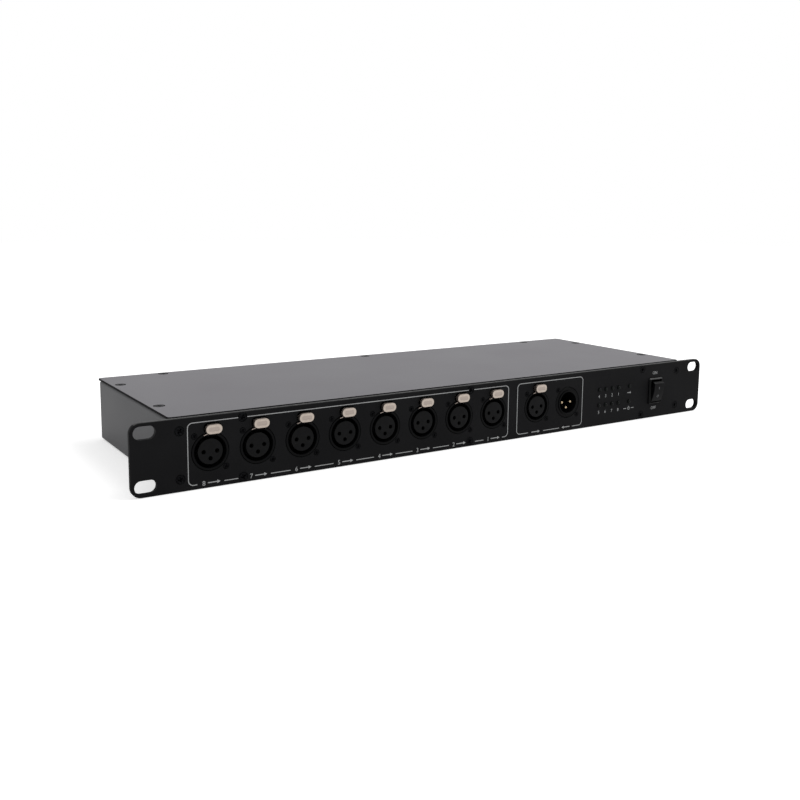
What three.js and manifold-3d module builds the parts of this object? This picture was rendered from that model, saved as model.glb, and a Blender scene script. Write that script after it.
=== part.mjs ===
// A rack-mount data splitter, one rack unit high. The flat front panel carries eight output
// sockets, a through socket, a pin socket for the input, ten indicator lamps and a rocker
// switch. A folded tray and a flat lid behind it hold the boards and the mains inlet.
// Millimetres. X runs along the panel to the right as seen from the front, Y runs from the
// panel to the rear and Z is up. The origin is under the middle of the tray.

import * as THREE from "three";
import { mergeVertices } from "three/addons/utils/BufferGeometryUtils.js";
import Module from "manifold-3d";

const wasm = await Module();
wasm.setup();

// Clearances
const seatGap = 0.25; // between pieces that are fastened, soldered or pressed together
const runGap = 0.4; // round pieces that move
const overrun = 1; // how far a cutter passes the face that it cuts

// Round shapes
const largeSides = 20;
const smallSides = 8;
const tabSteps = 1; // halves of a quarter arc
const cornerSteps = 2;
const slotSteps = 4;

// Sheet metal
const panelThickness = 3;
const panelCornerRadius = 6.3;
const sheet = 1.2;
const bendRadius = 2.2;
const lidOverhang = 1.1; // past the tray's sides and rear
const lidStep = 0.45; // from the panel's top edge up to the lid's top face
const trayDepth = 150.6; // from the panel's face to the rear wall's outer face
const lidFlangeWidth = 9.5; // the tray's inward flanges that the lid is screwed to
const lipStartShare = 0.75; // of a wall's thickness, from its outer face to where a lip starts

// Rack ears and their slots
const earWidth = 24.8;
const slotFromEnd = 8.75;
const slotSpacing = 31.75;
const slotLength = 13.2;
const slotHeight = 8;

// Socket housings, measured from the socket's centre and inward from the panel's face
const flangeWidth = 26;
const flangeHeight = 26;
const flangeThickness = 2.2;
const noseRadius = 11.5;
const noseRecess = 0.3;
const cutoutGap = 0.4;
const barrelWidth = 24.4;
const barrelEnd = 22;
const boreRadius = 9.9;
const boreEnd = 14;
const insertRadius = 7.8;
const insertRecess = 0.2;
const insertSeatDepth = 1.5;
const contactCircle = 4.2;
const contactHoleRadius = 1.3;
const contactHoleDepth = 9;
const fixingOffsetX = 9.8; // of the two screws, up on the left and down on the right
const fixingOffsetZ = 10.2;
const fixingRadius = 1.7;

// Latch of a socket: a press tab on a stem with a hook
const tabWidth = 10.2;
const tabHeight = 6.2;
const tabCornerRadius = 2.9;
const tabOffsetX = 1.5;
const tabOffsetZ = 14.1;
const tabProud = 3.3;
const tabThickness = 2.6;
const tabBevel = 0.8;
const neckInset = 0.9;
const neckEnd = 1;
const latchTravel = 2;
const stemWidth = 6;
const stemHeight = 3.6;
const stemDrop = 0.9;
const stemEnd = 10.5;
const hookWidth = 4;
const hookStart = 7.4;
const hookThickness = 2;
const hookClearance = 0.6; // from the hook's tip to the insert
const latchHousingMargin = 1.4; // wall beside the stem's channel
const latchHousingEnd = 18;
const clipWidth = 2.2;
const clipHeight = 0.8;
const clipProud = 1;
const clipOffsetX = 4;

// Pin socket of the input
const rimRadius = 9.2;
const rimProud = 0.8;
const cavityRadius = 8.1;
const pinPlateStart = 13.5;
const pinPlateEnd = 17;
const pinRadius = 1.2;
const pinRecess = 0.8;

// Indicator lamps
const lampRadius = 1.5;
const lampProud = 1.6;
const lampGap = 0.15;
const lampPitch = 7;
const statusColumnPitch = 11.9;
const upperLampRow = 6.4; // above the panel's middle
const lowerLampRow = 5.9; // below it
const lampBoardStart = 7;
const boardThickness = 1.6;
const lampBoardMargin = 5;

// Rocker switch, whose pivot lies behind the panel's face
const bezelWidth = 15;
const bezelHeight = 21;
const bezelProud = 2;
const bezelRadius = 1;
const rockerWidth = 11;
const rockerRadius = 9;
const rockerFaceHalf = 7.7;
const rockerCrown = 5.75;
const rockerSkirt = 2.5;
const rockerHub = 2.2;
const rockerPivotDepth = 1;
const rockerPinRadius = 1.1;
const rockerTilt = 12; // degrees from its middle, with the lower half pressed in
const switchWall = 0.5;
const switchBodyEnd = 16;
const switchCavityEnd = 7;
const terminalWidth = 4.8;
const terminalThickness = 0.8;
const terminalLength = 6.5;

// The front's layout from left to right. With the switch and the ten sockets it adds up to
// the tray's width, and with the two ears to the 482.6 mm of a 19-inch panel.
const outputCount = 8;
const lampColumns = 4;
const wallToFlange = 10.15;
const flangeSpacing = 4.5;
const blockSpacing = 14.85;
const flangeToLamps = 20.3;
const lampsToSwitch = 21.8;
const switchToWall = 22;
const edgeBand = 9; // above and below the socket flanges

// Screws
const screwHeadRadius = 2.75;
const lidScrewHeadRadius = 3;
const screwShankRadius = 1.45;
const screwLength = 7.5;
const recessLength = 3.2;
const recessWidth = 0.8;
const recessDepth = 1.1;
const panelScrewFromEdge = 3.5;
const sideScrewFromEdge = 7.6;
const sideScrewInset = 4.5;
const lidTabWidth = 6;
const lidTabPlaceShares = [0.78, 0]; // across the space between two latch housings
const lidTabSockets = [0, 6]; // the sockets to whose right those two tabs lie
const switchToScrew = 7.5;
const lidScrewFromSide = 5.4;
const lidScrewFromBack = 4.2;
const lidScrewFront = 38;
const lidScrewFromRear = 32;
const lidScrewShare = 0.794; // of half the tray's width, from its middle to a rear corner screw

// Inside
const driverBoardOverlap = 12;
const driverBoardHeight = 32;
const chipWidth = 9.6;
const chipHeight = 6.4;
const chipThickness = 3.2;
const standoffRadius = 3;
const standoffHeight = 6;
const standoffInset = 5;
const powerBoardWidth = 92;
const powerBoardDepth = 58;
const powerBoardFromWall = 14;
const transformerWidth = 44;
const transformerDepth = 38;
const transformerHeight = 26;
const transformerInset = 8;
const capacitorRadius = 6.5;
const capacitorHeight = 20;

// Mains inlet in the rear wall
const inletFromWall = 41.5;
const inletFlangeWidth = 31;
const inletFlangeHeight = 24.5;
const inletFlangeThickness = 2.2;
const inletFlangeRadius = 3;
const inletWall = 1.5;
const inletMouthWidth = 24.4;
const inletMouthHeight = 16.6;
const inletMouthChamfer = 4;
const inletMouthDepth = 17;
const bladeWidth = 2;
const bladeHeight = 4;
const bladeLength = 12;
const bladeSpacing = 14;
const bladeOffset = 2;

// Worked-out sizes and places
const socketPitch = flangeWidth + flangeSpacing;
const bankWidth = outputCount * flangeWidth + (outputCount - 1) * flangeSpacing;
const pairWidth = 2 * flangeWidth + flangeSpacing;
const lampFieldWidth = (lampColumns - 1) * lampPitch + statusColumnPitch;
const trayWidth = wallToFlange + bankWidth + blockSpacing + pairWidth + flangeToLamps
  + lampFieldWidth + lampsToSwitch + bezelWidth + switchToWall;
const panelWidth = trayWidth + 2 * earWidth;
const panelHeight = flangeHeight + 2 * edgeBand;
const midZ = panelHeight / 2;
const lidTop = panelHeight + lidStep;
const lidBottom = lidTop - sheet;
const trayTop = lidBottom - seatGap;
const overallDepth = trayDepth + lidOverhang;
const behindPanel = panelThickness + seatGap;

const leftWall = -trayWidth / 2;
const firstSocketX = leftWall + wallToFlange + flangeWidth / 2;
const outputXs = Array.from({ length: outputCount }, (_, i) => firstSocketX + i * socketPitch);
const throughX = outputXs.at(-1) + flangeWidth + blockSpacing;
const inputX = throughX + socketPitch;
const firstLampX = inputX + flangeWidth / 2 + flangeToLamps;
const lampXs = Array.from({ length: lampColumns }, (_, i) => firstLampX + i * lampPitch);
const statusX = lampXs.at(-1) + statusColumnPitch;
const switchX = statusX + lampsToSwitch + bezelWidth / 2;

const latchHousingWidth = stemWidth + 2 * runGap + 2 * latchHousingMargin;
const latchHousingTop = tabOffsetZ + tabHeight / 2 + cutoutGap;
const insertEnd = boreEnd + insertSeatDepth;

function finish(color, roughness, metalness) {
  return new THREE.MeshStandardMaterial({ color, roughness, metalness, flatShading: true });
}
const panelPaint = finish(0x1b1b1d, 0.55, 0.2);
const sheetPaint = finish(0x34343a, 0.5, 0.3);
const plastic = finish(0x161618, 0.6, 0);
const nickel = finish(0xd6cbbd, 0.28, 1);
const gold = finish(0xe0bb6c, 0.25, 1);
const darkSteel = finish(0x232326, 0.4, 0.6);
const boardGreen = finish(0x1f5c38, 0.6, 0);

// A closed mesh with merged corners, as a solid that can be joined and cut
function solid(geometry) {
  const bare = geometry.clone();
  bare.deleteAttribute("normal");
  bare.deleteAttribute("uv");
  const merged = mergeVertices(bare);
  const corners = merged.index.array;
  const triVerts = [];
  for (let i = 0; i < corners.length; i += 3) {
    const [a, b, c] = corners.slice(i, i + 3);
    if (a !== b && b !== c && c !== a) triVerts.push(a, b, c);
  }
  return new wasm.Manifold(new wasm.Mesh({
    numProp: 3,
    vertProperties: new Float32Array(merged.attributes.position.array),
    triVerts: new Uint32Array(triVerts),
  }));
}

function box(low, high) {
  const size = high.map((value, axis) => value - low[axis]);
  const middle = high.map((value, axis) => (value + low[axis]) / 2);
  return solid(new THREE.BoxGeometry(...size).translate(...middle));
}

// A round bar along Y
function rod(radius, from, to, sides, x = 0, z = 0) {
  const geometry = new THREE.CylinderGeometry(radius, radius, to - from, sides);
  return solid(geometry.translate(x, (from + to) / 2, z));
}

// An outline in X and Z, given its thickness along Y
function plate(outline, from, to, { bevel = 0, steps = cornerSteps } = {}) {
  const geometry = new THREE.ExtrudeGeometry(outline, {
    depth: to - from - 2 * bevel,
    curveSegments: steps,
    bevelEnabled: bevel > 0,
    bevelThickness: bevel,
    bevelSize: bevel,
    bevelOffset: -bevel,
    bevelSegments: 1,
  });
  return solid(geometry.rotateX(Math.PI / 2).translate(0, to - bevel, 0));
}

// An outline in Y and Z, given its width along X
function crossPlate(outline, from, to) {
  const geometry = new THREE.ExtrudeGeometry(outline, {
    depth: to - from,
    curveSegments: cornerSteps,
    bevelEnabled: false,
  });
  geometry.applyMatrix4(new THREE.Matrix4().makeBasis(
    new THREE.Vector3(0, 1, 0), new THREE.Vector3(0, 0, 1), new THREE.Vector3(1, 0, 0),
  ));
  return solid(geometry.translate(from, 0, 0));
}

// A shape turned about Y from pairs of radius and depth, in order of rising depth
function turned(profile, sides) {
  return solid(new THREE.LatheGeometry(profile.map(([r, y]) => new THREE.Vector2(r, y)), sides));
}

function roundedRectangle(width, height, radius, x = 0, z = 0) {
  const [right, top] = [x + width / 2 - radius, z + height / 2 - radius];
  const [left, bottom] = [x - width / 2 + radius, z - height / 2 + radius];
  const quarter = Math.PI / 2;
  const outline = new THREE.Shape();
  outline.absarc(right, top, radius, 0, quarter);
  outline.absarc(left, top, radius, quarter, 2 * quarter);
  outline.absarc(left, bottom, radius, 2 * quarter, 3 * quarter);
  outline.absarc(right, bottom, radius, 3 * quarter, 4 * quarter);
  return outline;
}

function oblong(length, height, x, z) {
  const reach = (length - height) / 2;
  const outline = new THREE.Shape();
  outline.absarc(x + reach, z, height / 2, -Math.PI / 2, Math.PI / 2);
  outline.absarc(x - reach, z, height / 2, Math.PI / 2, 3 * Math.PI / 2);
  return outline;
}

function addPiece(group, name, body, material, [x, y, z] = [0, 0, 0]) {
  const { vertProperties, triVerts } = body.getMesh();
  const geometry = new THREE.BufferGeometry();
  geometry.setAttribute("position", new THREE.BufferAttribute(vertProperties, 3));
  geometry.setIndex(new THREE.BufferAttribute(triVerts, 1));
  const mesh = new THREE.Mesh(geometry, material);
  mesh.name = name;
  mesh.position.set(x, y, z);
  group.add(mesh);
  return mesh;
}

// Countersunk screw, head flush at depth 0 and shank inward
function screw(headRadius, shankRadius, length, sides) {
  return turned([
    [0, 0],
    [headRadius, 0],
    [shankRadius, headRadius - shankRadius],
    [shankRadius, length],
    [0, length],
  ], sides);
}

// The hole for such a screw, a clearance wider all round
function screwHole(headRadius, shankRadius, length, sides) {
  return turned([
    [0, -overrun],
    [headRadius + seatGap, -overrun],
    [headRadius + seatGap, 0],
    [shankRadius + seatGap, headRadius - shankRadius],
    [shankRadius + seatGap, length + seatGap],
    [0, length + seatGap],
  ], sides);
}

function crossScrew(headRadius) {
  const [reach, half] = [recessLength / 2, recessWidth / 2];
  const blank = screw(headRadius, screwShankRadius, screwLength, smallSides);
  const level = box([-reach, -overrun, -half], [reach, recessDepth, half]);
  const upright = box([-half, -overrun, -reach], [half, recessDepth, reach]);
  return blank.subtract(level.add(upright));
}

// Places of the panel screws, across the panel and up from its middle: a pair at each end
// and a pair at each of the three lid tabs.
const gapStart = tabOffsetX + latchHousingWidth / 2 + seatGap + lidTabWidth / 2;
const gapEnd = socketPitch + tabOffsetX - latchHousingWidth / 2 - seatGap - lidTabWidth / 2;
const lidTabXs = lidTabSockets.map((socket, i) => (
  outputXs[socket] + gapStart + lidTabPlaceShares[i] * (gapEnd - gapStart)
));
lidTabXs.push(switchX - bezelWidth / 2 - switchToScrew);
const sideScrewX = trayWidth / 2 - sideScrewInset;
const sideScrewZ = midZ - sideScrewFromEdge;
const edgeScrewZ = midZ - panelScrewFromEdge;
const panelScrewPlaces = [
  ...[-sideScrewX, sideScrewX].flatMap((x) => [[x, sideScrewZ], [x, -sideScrewZ]]),
  ...lidTabXs.flatMap((x) => [[x, edgeScrewZ], [x, -edgeScrewZ]]),
];

// Places of the lid screws, across the lid and back from the panel's face
const lidScrewX = trayWidth / 2 - lidScrewFromSide;
const lidScrewRear = trayDepth - lidScrewFromBack;
const lidScrewPlaces = [
  ...[-lidScrewX, lidScrewX].flatMap((x) => [[x, lidScrewFront], [x, trayDepth - lidScrewFromRear]]),
  ...[-1, 0, 1].map((side) => [side * lidScrewShare * trayWidth / 2, lidScrewRear]),
];

const lampPlaces = [...lampXs, statusX].flatMap((x) => [[x, upperLampRow], [x, -lowerLampRow]]);
const fixingPlaces = [[-fixingOffsetX, fixingOffsetZ], [fixingOffsetX, -fixingOffsetZ]];

// Front panel: a flat plate with ears, cut for the sockets, lamps, switch and screws
function makePanel() {
  const through = [-overrun, panelThickness + overrun];
  const cuts = [];
  const slotX = panelWidth / 2 - slotFromEnd;
  for (const x of [-slotX, slotX]) {
    for (const z of [-slotSpacing / 2, slotSpacing / 2]) {
      cuts.push(plate(oblong(slotLength, slotHeight, x, z), ...through, { steps: slotSteps }));
    }
  }
  const [notchWidth, notchHeight] = [tabWidth + 2 * cutoutGap, tabHeight + 2 * cutoutGap];
  const notchRadius = tabCornerRadius + cutoutGap;
  const notch = roundedRectangle(notchWidth, notchHeight, notchRadius, tabOffsetX, tabOffsetZ);
  const neck = [tabWidth / 2 - tabCornerRadius, noseRadius / 2];
  const latchCut = plate(notch, ...through).add(box(
    [tabOffsetX - neck[0], through[0], neck[1]],
    [tabOffsetX + neck[0], through[1], tabOffsetZ],
  ));
  const roundCut = rod(noseRadius + cutoutGap, ...through, largeSides);
  const fixingHole = rod(fixingRadius + seatGap, ...through, smallSides);
  for (const x of [...outputXs, throughX, inputX]) {
    cuts.push((x === inputX ? roundCut : roundCut.add(latchCut)).translate(x, 0, 0));
    for (const [dx, dz] of fixingPlaces) cuts.push(fixingHole.translate(x + dx, 0, dz));
  }
  for (const [x, z] of lampPlaces) {
    cuts.push(rod(lampRadius + lampGap, ...through, smallSides, x, z));
  }
  const [width, height] = switchBodySize();
  cuts.push(box(
    [switchX - width / 2 - seatGap, through[0], -height / 2 - seatGap],
    [switchX + width / 2 + seatGap, through[1], height / 2 + seatGap],
  ));
  const hole = screwHole(screwHeadRadius, screwShankRadius, screwLength, smallSides);
  for (const [x, z] of panelScrewPlaces) cuts.push(hole.translate(x, 0, z));
  const outline = roundedRectangle(panelWidth, panelHeight, panelCornerRadius);
  return cuts.reduce((panel, cut) => panel.subtract(cut), plate(outline, 0, panelThickness));
}

// What every socket housing shares: a nose in the panel's cut-out, a flange behind the
// panel, the two black screws that hold it there, and a barrel that ends at the driver board
function housingBlank() {
  const flangeEnd = behindPanel + flangeThickness;
  const [across, up, half] = [flangeWidth / 2, flangeHeight / 2, barrelWidth / 2];
  const body = rod(noseRadius, noseRecess, flangeEnd, largeSides)
    .add(box([-across, behindPanel, -up], [across, flangeEnd, up]))
    .add(box([-half, behindPanel, -half], [half, barrelEnd, half]));
  const fixing = rod(fixingRadius, 0, flangeEnd, smallSides);
  return fixingPlaces.reduce((joined, [x, z]) => joined.add(fixing.translate(x, 0, z)), body);
}

// Housing of an output socket: round a ring-shaped gap for the plug's sleeve, with the
// latch's channel above it and the end of the latch's spring clip on the nose
function makeSocketShell() {
  const channelHalf = stemWidth / 2 + runGap;
  const stemZ = tabOffsetZ - stemDrop;
  const housing = box(
    [tabOffsetX - latchHousingWidth / 2, behindPanel, 0],
    [tabOffsetX + latchHousingWidth / 2, latchHousingEnd, latchHousingTop],
  );
  const clipTop = tabOffsetZ - tabHeight / 2 - runGap;
  const clip = box(
    [-clipOffsetX - clipWidth / 2, -clipProud, clipTop - clipHeight],
    [-clipOffsetX + clipWidth / 2, noseRecess + overrun, clipTop],
  ).intersect(rod(noseRadius, -clipProud, behindPanel, largeSides));
  const pocket = box(
    [tabOffsetX - tabWidth / 2 - runGap, noseRecess - overrun, tabOffsetZ - tabHeight / 2 - runGap],
    [tabOffsetX + tabWidth / 2 + runGap, neckEnd + latchTravel + runGap, latchHousingTop + overrun],
  );
  const channel = box(
    [tabOffsetX - channelHalf, behindPanel - overrun, stemZ - stemHeight / 2 - runGap],
    [tabOffsetX + channelHalf, stemEnd + latchTravel + runGap, stemZ + stemHeight / 2 + runGap],
  );
  const hookSlot = box(
    [tabOffsetX - hookWidth / 2 - runGap, hookStart - runGap, 0],
    [tabOffsetX + hookWidth / 2 + runGap, hookStart + hookThickness + latchTravel + runGap, stemZ],
  );
  return housingBlank()
    .add(housing)
    .subtract(rod(boreRadius, noseRecess - overrun, boreEnd, largeSides))
    .subtract(rod(insertRadius + seatGap, noseRecess, insertEnd + seatGap, largeSides))
    .subtract(pocket)
    .subtract(channel)
    .subtract(hookSlot)
    .add(clip);
}

// Insert of an output socket: a plug of plastic with three contact holes
function makeSocketInsert() {
  let body = rod(insertRadius, insertRecess, insertEnd, largeSides);
  for (const [x, z] of contactPlaces()) {
    const reach = [insertRecess - overrun, insertRecess + contactHoleDepth];
    body = body.subtract(rod(contactHoleRadius, ...reach, smallSides, x, z));
  }
  return body;
}

// The left, right and lower contact, from the socket's centre
function contactPlaces() {
  return [[-contactCircle, 0], [contactCircle, 0], [0, -contactCircle]];
}

// Latch: press tab, neck in the panel's notch, stem in its channel and hook in the bore
function makeLatch() {
  const stemZ = tabOffsetZ - stemDrop;
  const hookTip = insertRadius + hookClearance;
  const outline = roundedRectangle(tabWidth, tabHeight, tabCornerRadius, tabOffsetX, tabOffsetZ);
  const neck = box(
    [tabOffsetX - tabWidth / 2 + neckInset, -tabProud / 2, tabOffsetZ - tabHeight / 2 + neckInset],
    [tabOffsetX + tabWidth / 2 - neckInset, neckEnd, tabOffsetZ + tabHeight / 2 - neckInset],
  );
  const stem = box(
    [tabOffsetX - stemWidth / 2, 0, stemZ - stemHeight / 2],
    [tabOffsetX + stemWidth / 2, stemEnd, stemZ + stemHeight / 2],
  );
  const hook = box(
    [tabOffsetX - hookWidth / 2, hookStart, hookTip],
    [tabOffsetX + hookWidth / 2, hookStart + hookThickness, stemZ],
  );
  return plate(outline, -tabProud, tabThickness - tabProud, { bevel: tabBevel, steps: tabSteps })
    .add(neck)
    .add(stem)
    .add(hook);
}

// Housing of the input: the same flange and barrel round an open cavity with a raised rim
function makeInputShell() {
  return housingBlank()
    .add(rod(rimRadius, -rimProud, behindPanel, largeSides))
    .subtract(rod(cavityRadius, -rimProud - overrun, pinPlateEnd + seatGap, largeSides));
}

function makePinPlate() {
  let body = rod(cavityRadius - seatGap, pinPlateStart, pinPlateEnd, largeSides);
  for (const [x, z] of contactPlaces()) {
    const reach = [pinPlateStart - overrun, pinPlateEnd + overrun];
    body = body.subtract(rod(pinRadius + seatGap, ...reach, smallSides, x, z));
  }
  return body;
}

// Input pin with a rounded tip
function makePin() {
  const round = pinRadius / 2;
  return turned([
    [0, pinRecess],
    [round, pinRecess],
    [pinRadius, pinRecess + round],
    [pinRadius, pinPlateEnd],
    [0, pinPlateEnd],
  ], smallSides);
}

// Lamp board: an upright board behind the panel with its ten lamps, which pass the panel
function makeLampBoard() {
  const [left, right] = [lampXs[0] - lampBoardMargin, statusX + lampBoardMargin];
  const low = [left, lampBoardStart, -lowerLampRow - lampBoardMargin];
  const high = [right, lampBoardStart + boardThickness, upperLampRow + lampBoardMargin];
  const shoulder = -lampProud + lampRadius / 2;
  const lamp = turned([
    [0, -lampProud],
    [lampRadius * Math.SQRT1_2, -lampProud + lampRadius / 5],
    [lampRadius, shoulder],
    [lampRadius, lampBoardStart + boardThickness / 2],
    [0, lampBoardStart + boardThickness / 2],
  ], smallSides);
  return lampPlaces.reduce((body, [x, z]) => body.add(lamp.translate(x, 0, z)), box(low, high));
}

// Width and height of the switch's body, round the rocker and its running clearance
function switchBodySize() {
  const width = rockerWidth + 2 * runGap + 4 * switchWall;
  return [width, 2 * (rockerRadius + runGap + switchWall)];
}

// Switch housing: bezel in front of the panel, body behind it, open for the rocker
function makeSwitchHousing() {
  const [width, height] = switchBodySize();
  const cavity = [rockerWidth / 2 + runGap, rockerRadius + runGap];
  const bezel = roundedRectangle(bezelWidth, bezelHeight, bezelRadius);
  let body = plate(bezel, -bezelProud, -seatGap)
    .add(box([-width / 2, -bezelProud / 2, -height / 2], [width / 2, switchBodyEnd, height / 2]))
    .subtract(box(
      [-cavity[0], -bezelProud - overrun, -cavity[1]],
      [cavity[0], switchCavityEnd, cavity[1]],
    ));
  const pinHole = new THREE.CylinderGeometry(
    rockerPinRadius + runGap / 2, rockerPinRadius + runGap / 2, width + 2 * overrun, smallSides,
  );
  body = body.subtract(solid(pinHole.rotateZ(Math.PI / 2).translate(0, rockerPivotDepth, 0)));
  for (const z of [-height / 4, height / 4]) {
    body = body.add(box(
      [-terminalWidth / 2, switchBodyEnd - overrun, z - terminalThickness / 2],
      [terminalWidth / 2, switchBodyEnd + terminalLength, z + terminalThickness / 2],
    ));
  }
  return body;
}

// Rocker about its pivot, in its middle position: a crowned face to the front, ends that are
// arcs round the pivot, and a hub with a pin at each side
function makeRocker() {
  const quarter = Math.PI / 2;
  const cornerAngle = Math.acos(rockerFaceHalf / rockerRadius);
  const skirtAngle = Math.asin(rockerSkirt / rockerRadius);
  const cornerRise = rockerRadius * Math.sin(cornerAngle);
  const outline = new THREE.Shape();
  outline.moveTo(-rockerSkirt, rockerHub);
  outline.lineTo(-rockerSkirt, rockerRadius * Math.cos(skirtAngle));
  outline.absarc(0, 0, rockerRadius, quarter + skirtAngle, quarter + cornerAngle);
  outline.quadraticCurveTo(cornerRise - 2 * rockerCrown, 0, -cornerRise, -rockerFaceHalf);
  outline.absarc(0, 0, rockerRadius, 3 * quarter - cornerAngle, 3 * quarter - skirtAngle);
  outline.lineTo(-rockerSkirt, -rockerHub);
  outline.absarc(0, 0, rockerHub, -quarter, quarter);
  const pinLength = rockerWidth + 2 * runGap + 2 * switchWall;
  const pin = new THREE.CylinderGeometry(rockerPinRadius, rockerPinRadius, pinLength, smallSides);
  return crossPlate(outline, -rockerWidth / 2, rockerWidth / 2).add(solid(pin.rotateZ(quarter)));
}

// Tray: floor, two sides and rear wall folded from one sheet, with lips behind the panel,
// flanges under the lid and four standoffs for the power board. It is built too long at the
// front and too high, then trimmed there in one cut, so that its edges lie in one plane.
function makeTray() {
  const [left, right] = [-trayWidth / 2, trayWidth / 2];
  const [front, top] = [behindPanel - overrun, trayTop + overrun];
  const quarter = Math.PI / 2;
  const acrossOutline = new THREE.Shape();
  acrossOutline.moveTo(right, top);
  acrossOutline.lineTo(left, top);
  acrossOutline.absarc(left + bendRadius, bendRadius, bendRadius, 2 * quarter, 3 * quarter);
  acrossOutline.absarc(right - bendRadius, bendRadius, bendRadius, 3 * quarter, 4 * quarter);
  const rearCorner = new THREE.Shape();
  rearCorner.moveTo(trayDepth - bendRadius, -overrun);
  rearCorner.lineTo(trayDepth + overrun, -overrun);
  rearCorner.lineTo(trayDepth + overrun, bendRadius);
  rearCorner.lineTo(trayDepth, bendRadius);
  rearCorner.absarc(trayDepth - bendRadius, bendRadius, bendRadius, 0, -quarter, true);
  const inner = box(
    [left + sheet, front - overrun, sheet],
    [right - sheet, trayDepth - sheet, top + overrun],
  );
  let body = plate(acrossOutline, front, trayDepth)
    .subtract(crossPlate(rearCorner, left - overrun, right + overrun))
    .subtract(inner);

  const lipEnd = behindPanel + sheet;
  const sideLip = wallToFlange - seatGap;
  const inside = sheet * lipStartShare;
  const flangeLow = trayTop - sheet;
  const rearFlange = [trayDepth - lidFlangeWidth, trayDepth - inside];
  const flanges = [
    box([left + inside, front, inside], [right - inside, lipEnd, edgeBand - 2 * seatGap]),
    box([left + inside, rearFlange[0], flangeLow], [right - inside, rearFlange[1], top]),
  ];
  for (const side of [-1, 1]) {
    const edges = (width) => [side * (right - width), side * (right - inside)].sort((a, b) => a - b);
    const [lip, flange] = [edges(sideLip), edges(lidFlangeWidth)];
    flanges.push(box([lip[0], front, inside], [lip[1], lipEnd, top]));
    flanges.push(box([flange[0], front, flangeLow], [flange[1], rearFlange[1], top]));
  }
  const standoff = new THREE.CylinderGeometry(
    standoffRadius, standoffRadius, standoffHeight, smallSides,
  );
  standoff.rotateX(quarter).translate(0, 0, sheet / 2 + standoffHeight / 2);
  const standoffs = standoffPlaces().map(([x, y]) => solid(standoff).translate(x, y, 0));
  for (const added of [...flanges, ...standoffs]) body = body.add(added);
  body = body.intersect(box(
    [left - overrun, behindPanel, -overrun],
    [right + overrun, trayDepth + overrun, trayTop],
  ));

  const shankHole = screwShankRadius + seatGap;
  const reach = [behindPanel - overrun, lipEnd + overrun];
  for (const [x, z] of panelScrewPlaces) {
    body = body.subtract(rod(shankHole, ...reach, smallSides, x, midZ + z));
  }
  const downHole = new THREE.CylinderGeometry(
    shankHole, shankHole, sheet + 2 * overrun, smallSides,
  );
  downHole.rotateX(quarter).translate(0, 0, trayTop - sheet / 2);
  for (const [x, y] of lidScrewPlaces) body = body.subtract(solid(downHole).translate(x, y, 0));
  const [inletWidth, inletHeight] = inletBodySize();
  const [openingX, openingZ] = [inletWidth / 2 + seatGap, inletHeight / 2 + seatGap];
  return body.subtract(box(
    [inletX() - openingX, trayDepth - 2 * sheet, midZ - openingZ],
    [inletX() + openingX, trayDepth + overrun, midZ + openingZ],
  ));
}

// Lid: a flat sheet with countersunk holes and three tabs folded down behind the panel
function makeLid() {
  const halfWidth = trayWidth / 2 + lidOverhang;
  let body = box([-halfWidth, behindPanel, lidBottom], [halfWidth, overallDepth, lidTop]);
  const hole = screwHole(lidScrewHeadRadius, screwShankRadius, screwLength, smallSides);
  for (const [x, y] of lidScrewPlaces) {
    body = body.subtract(hole.rotate([-90, 0, 0]).translate(x, y, lidTop));
  }
  for (const x of lidTabXs) {
    const low = midZ + edgeScrewZ - lidTabWidth / 2;
    const tab = box(
      [x - lidTabWidth / 2, behindPanel, low],
      [x + lidTabWidth / 2, behindPanel + sheet, lidBottom + sheet / 2],
    );
    const reach = [behindPanel - overrun, behindPanel + sheet + overrun];
    const tabHole = rod(screwShankRadius + seatGap, ...reach, smallSides, x, midZ + edgeScrewZ);
    body = body.add(tab).subtract(tabHole);
  }
  return body;
}

// Driver board: an upright board soldered to the backs of the ten sockets, with a driver
// chip behind each output
function makeDriverBoard() {
  const start = barrelEnd + seatGap;
  const [left, right] = [outputXs[0] - driverBoardOverlap, inputX + driverBoardOverlap];
  const half = driverBoardHeight / 2;
  let body = box([left, start, -half], [right, start + boardThickness, half]);
  for (const x of [...outputXs, throughX]) {
    body = body.add(box(
      [x - chipWidth / 2, start + boardThickness / 2, -chipHeight / 2],
      [x + chipWidth / 2, start + boardThickness + chipThickness, chipHeight / 2],
    ));
  }
  return body;
}

// Corners of the power board: left, right, front and rear
function powerBoardEdges() {
  const right = trayWidth / 2 - powerBoardFromWall;
  const rear = trayDepth - inletMouthDepth - 2 * inletWall - powerBoardFromWall;
  return [right - powerBoardWidth, right, rear - powerBoardDepth, rear];
}

function standoffPlaces() {
  const [left, right, front, rear] = powerBoardEdges();
  return [left + standoffInset, right - standoffInset].flatMap((x) => (
    [[x, front + standoffInset], [x, rear - standoffInset]]
  ));
}

const powerBoardLow = sheet / 2 + standoffHeight + seatGap;

// Power board, lying on the tray's standoffs, with its two storage capacitors
function makePowerBoard() {
  const [left, right, front, rear] = powerBoardEdges();
  const top = powerBoardLow + boardThickness;
  let body = box([left, front, powerBoardLow], [right, rear, top]);
  const capacitor = new THREE.CylinderGeometry(
    capacitorRadius, capacitorRadius, capacitorHeight, smallSides,
  );
  capacitor.rotateX(Math.PI / 2).translate(0, 0, top - boardThickness / 2 + capacitorHeight / 2);
  const x = left + standoffInset + standoffRadius + capacitorRadius;
  for (const y of [front + (rear - front) / 4, rear - (rear - front) / 4]) {
    body = body.add(solid(capacitor).translate(x, y, 0));
  }
  return body;
}

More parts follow.
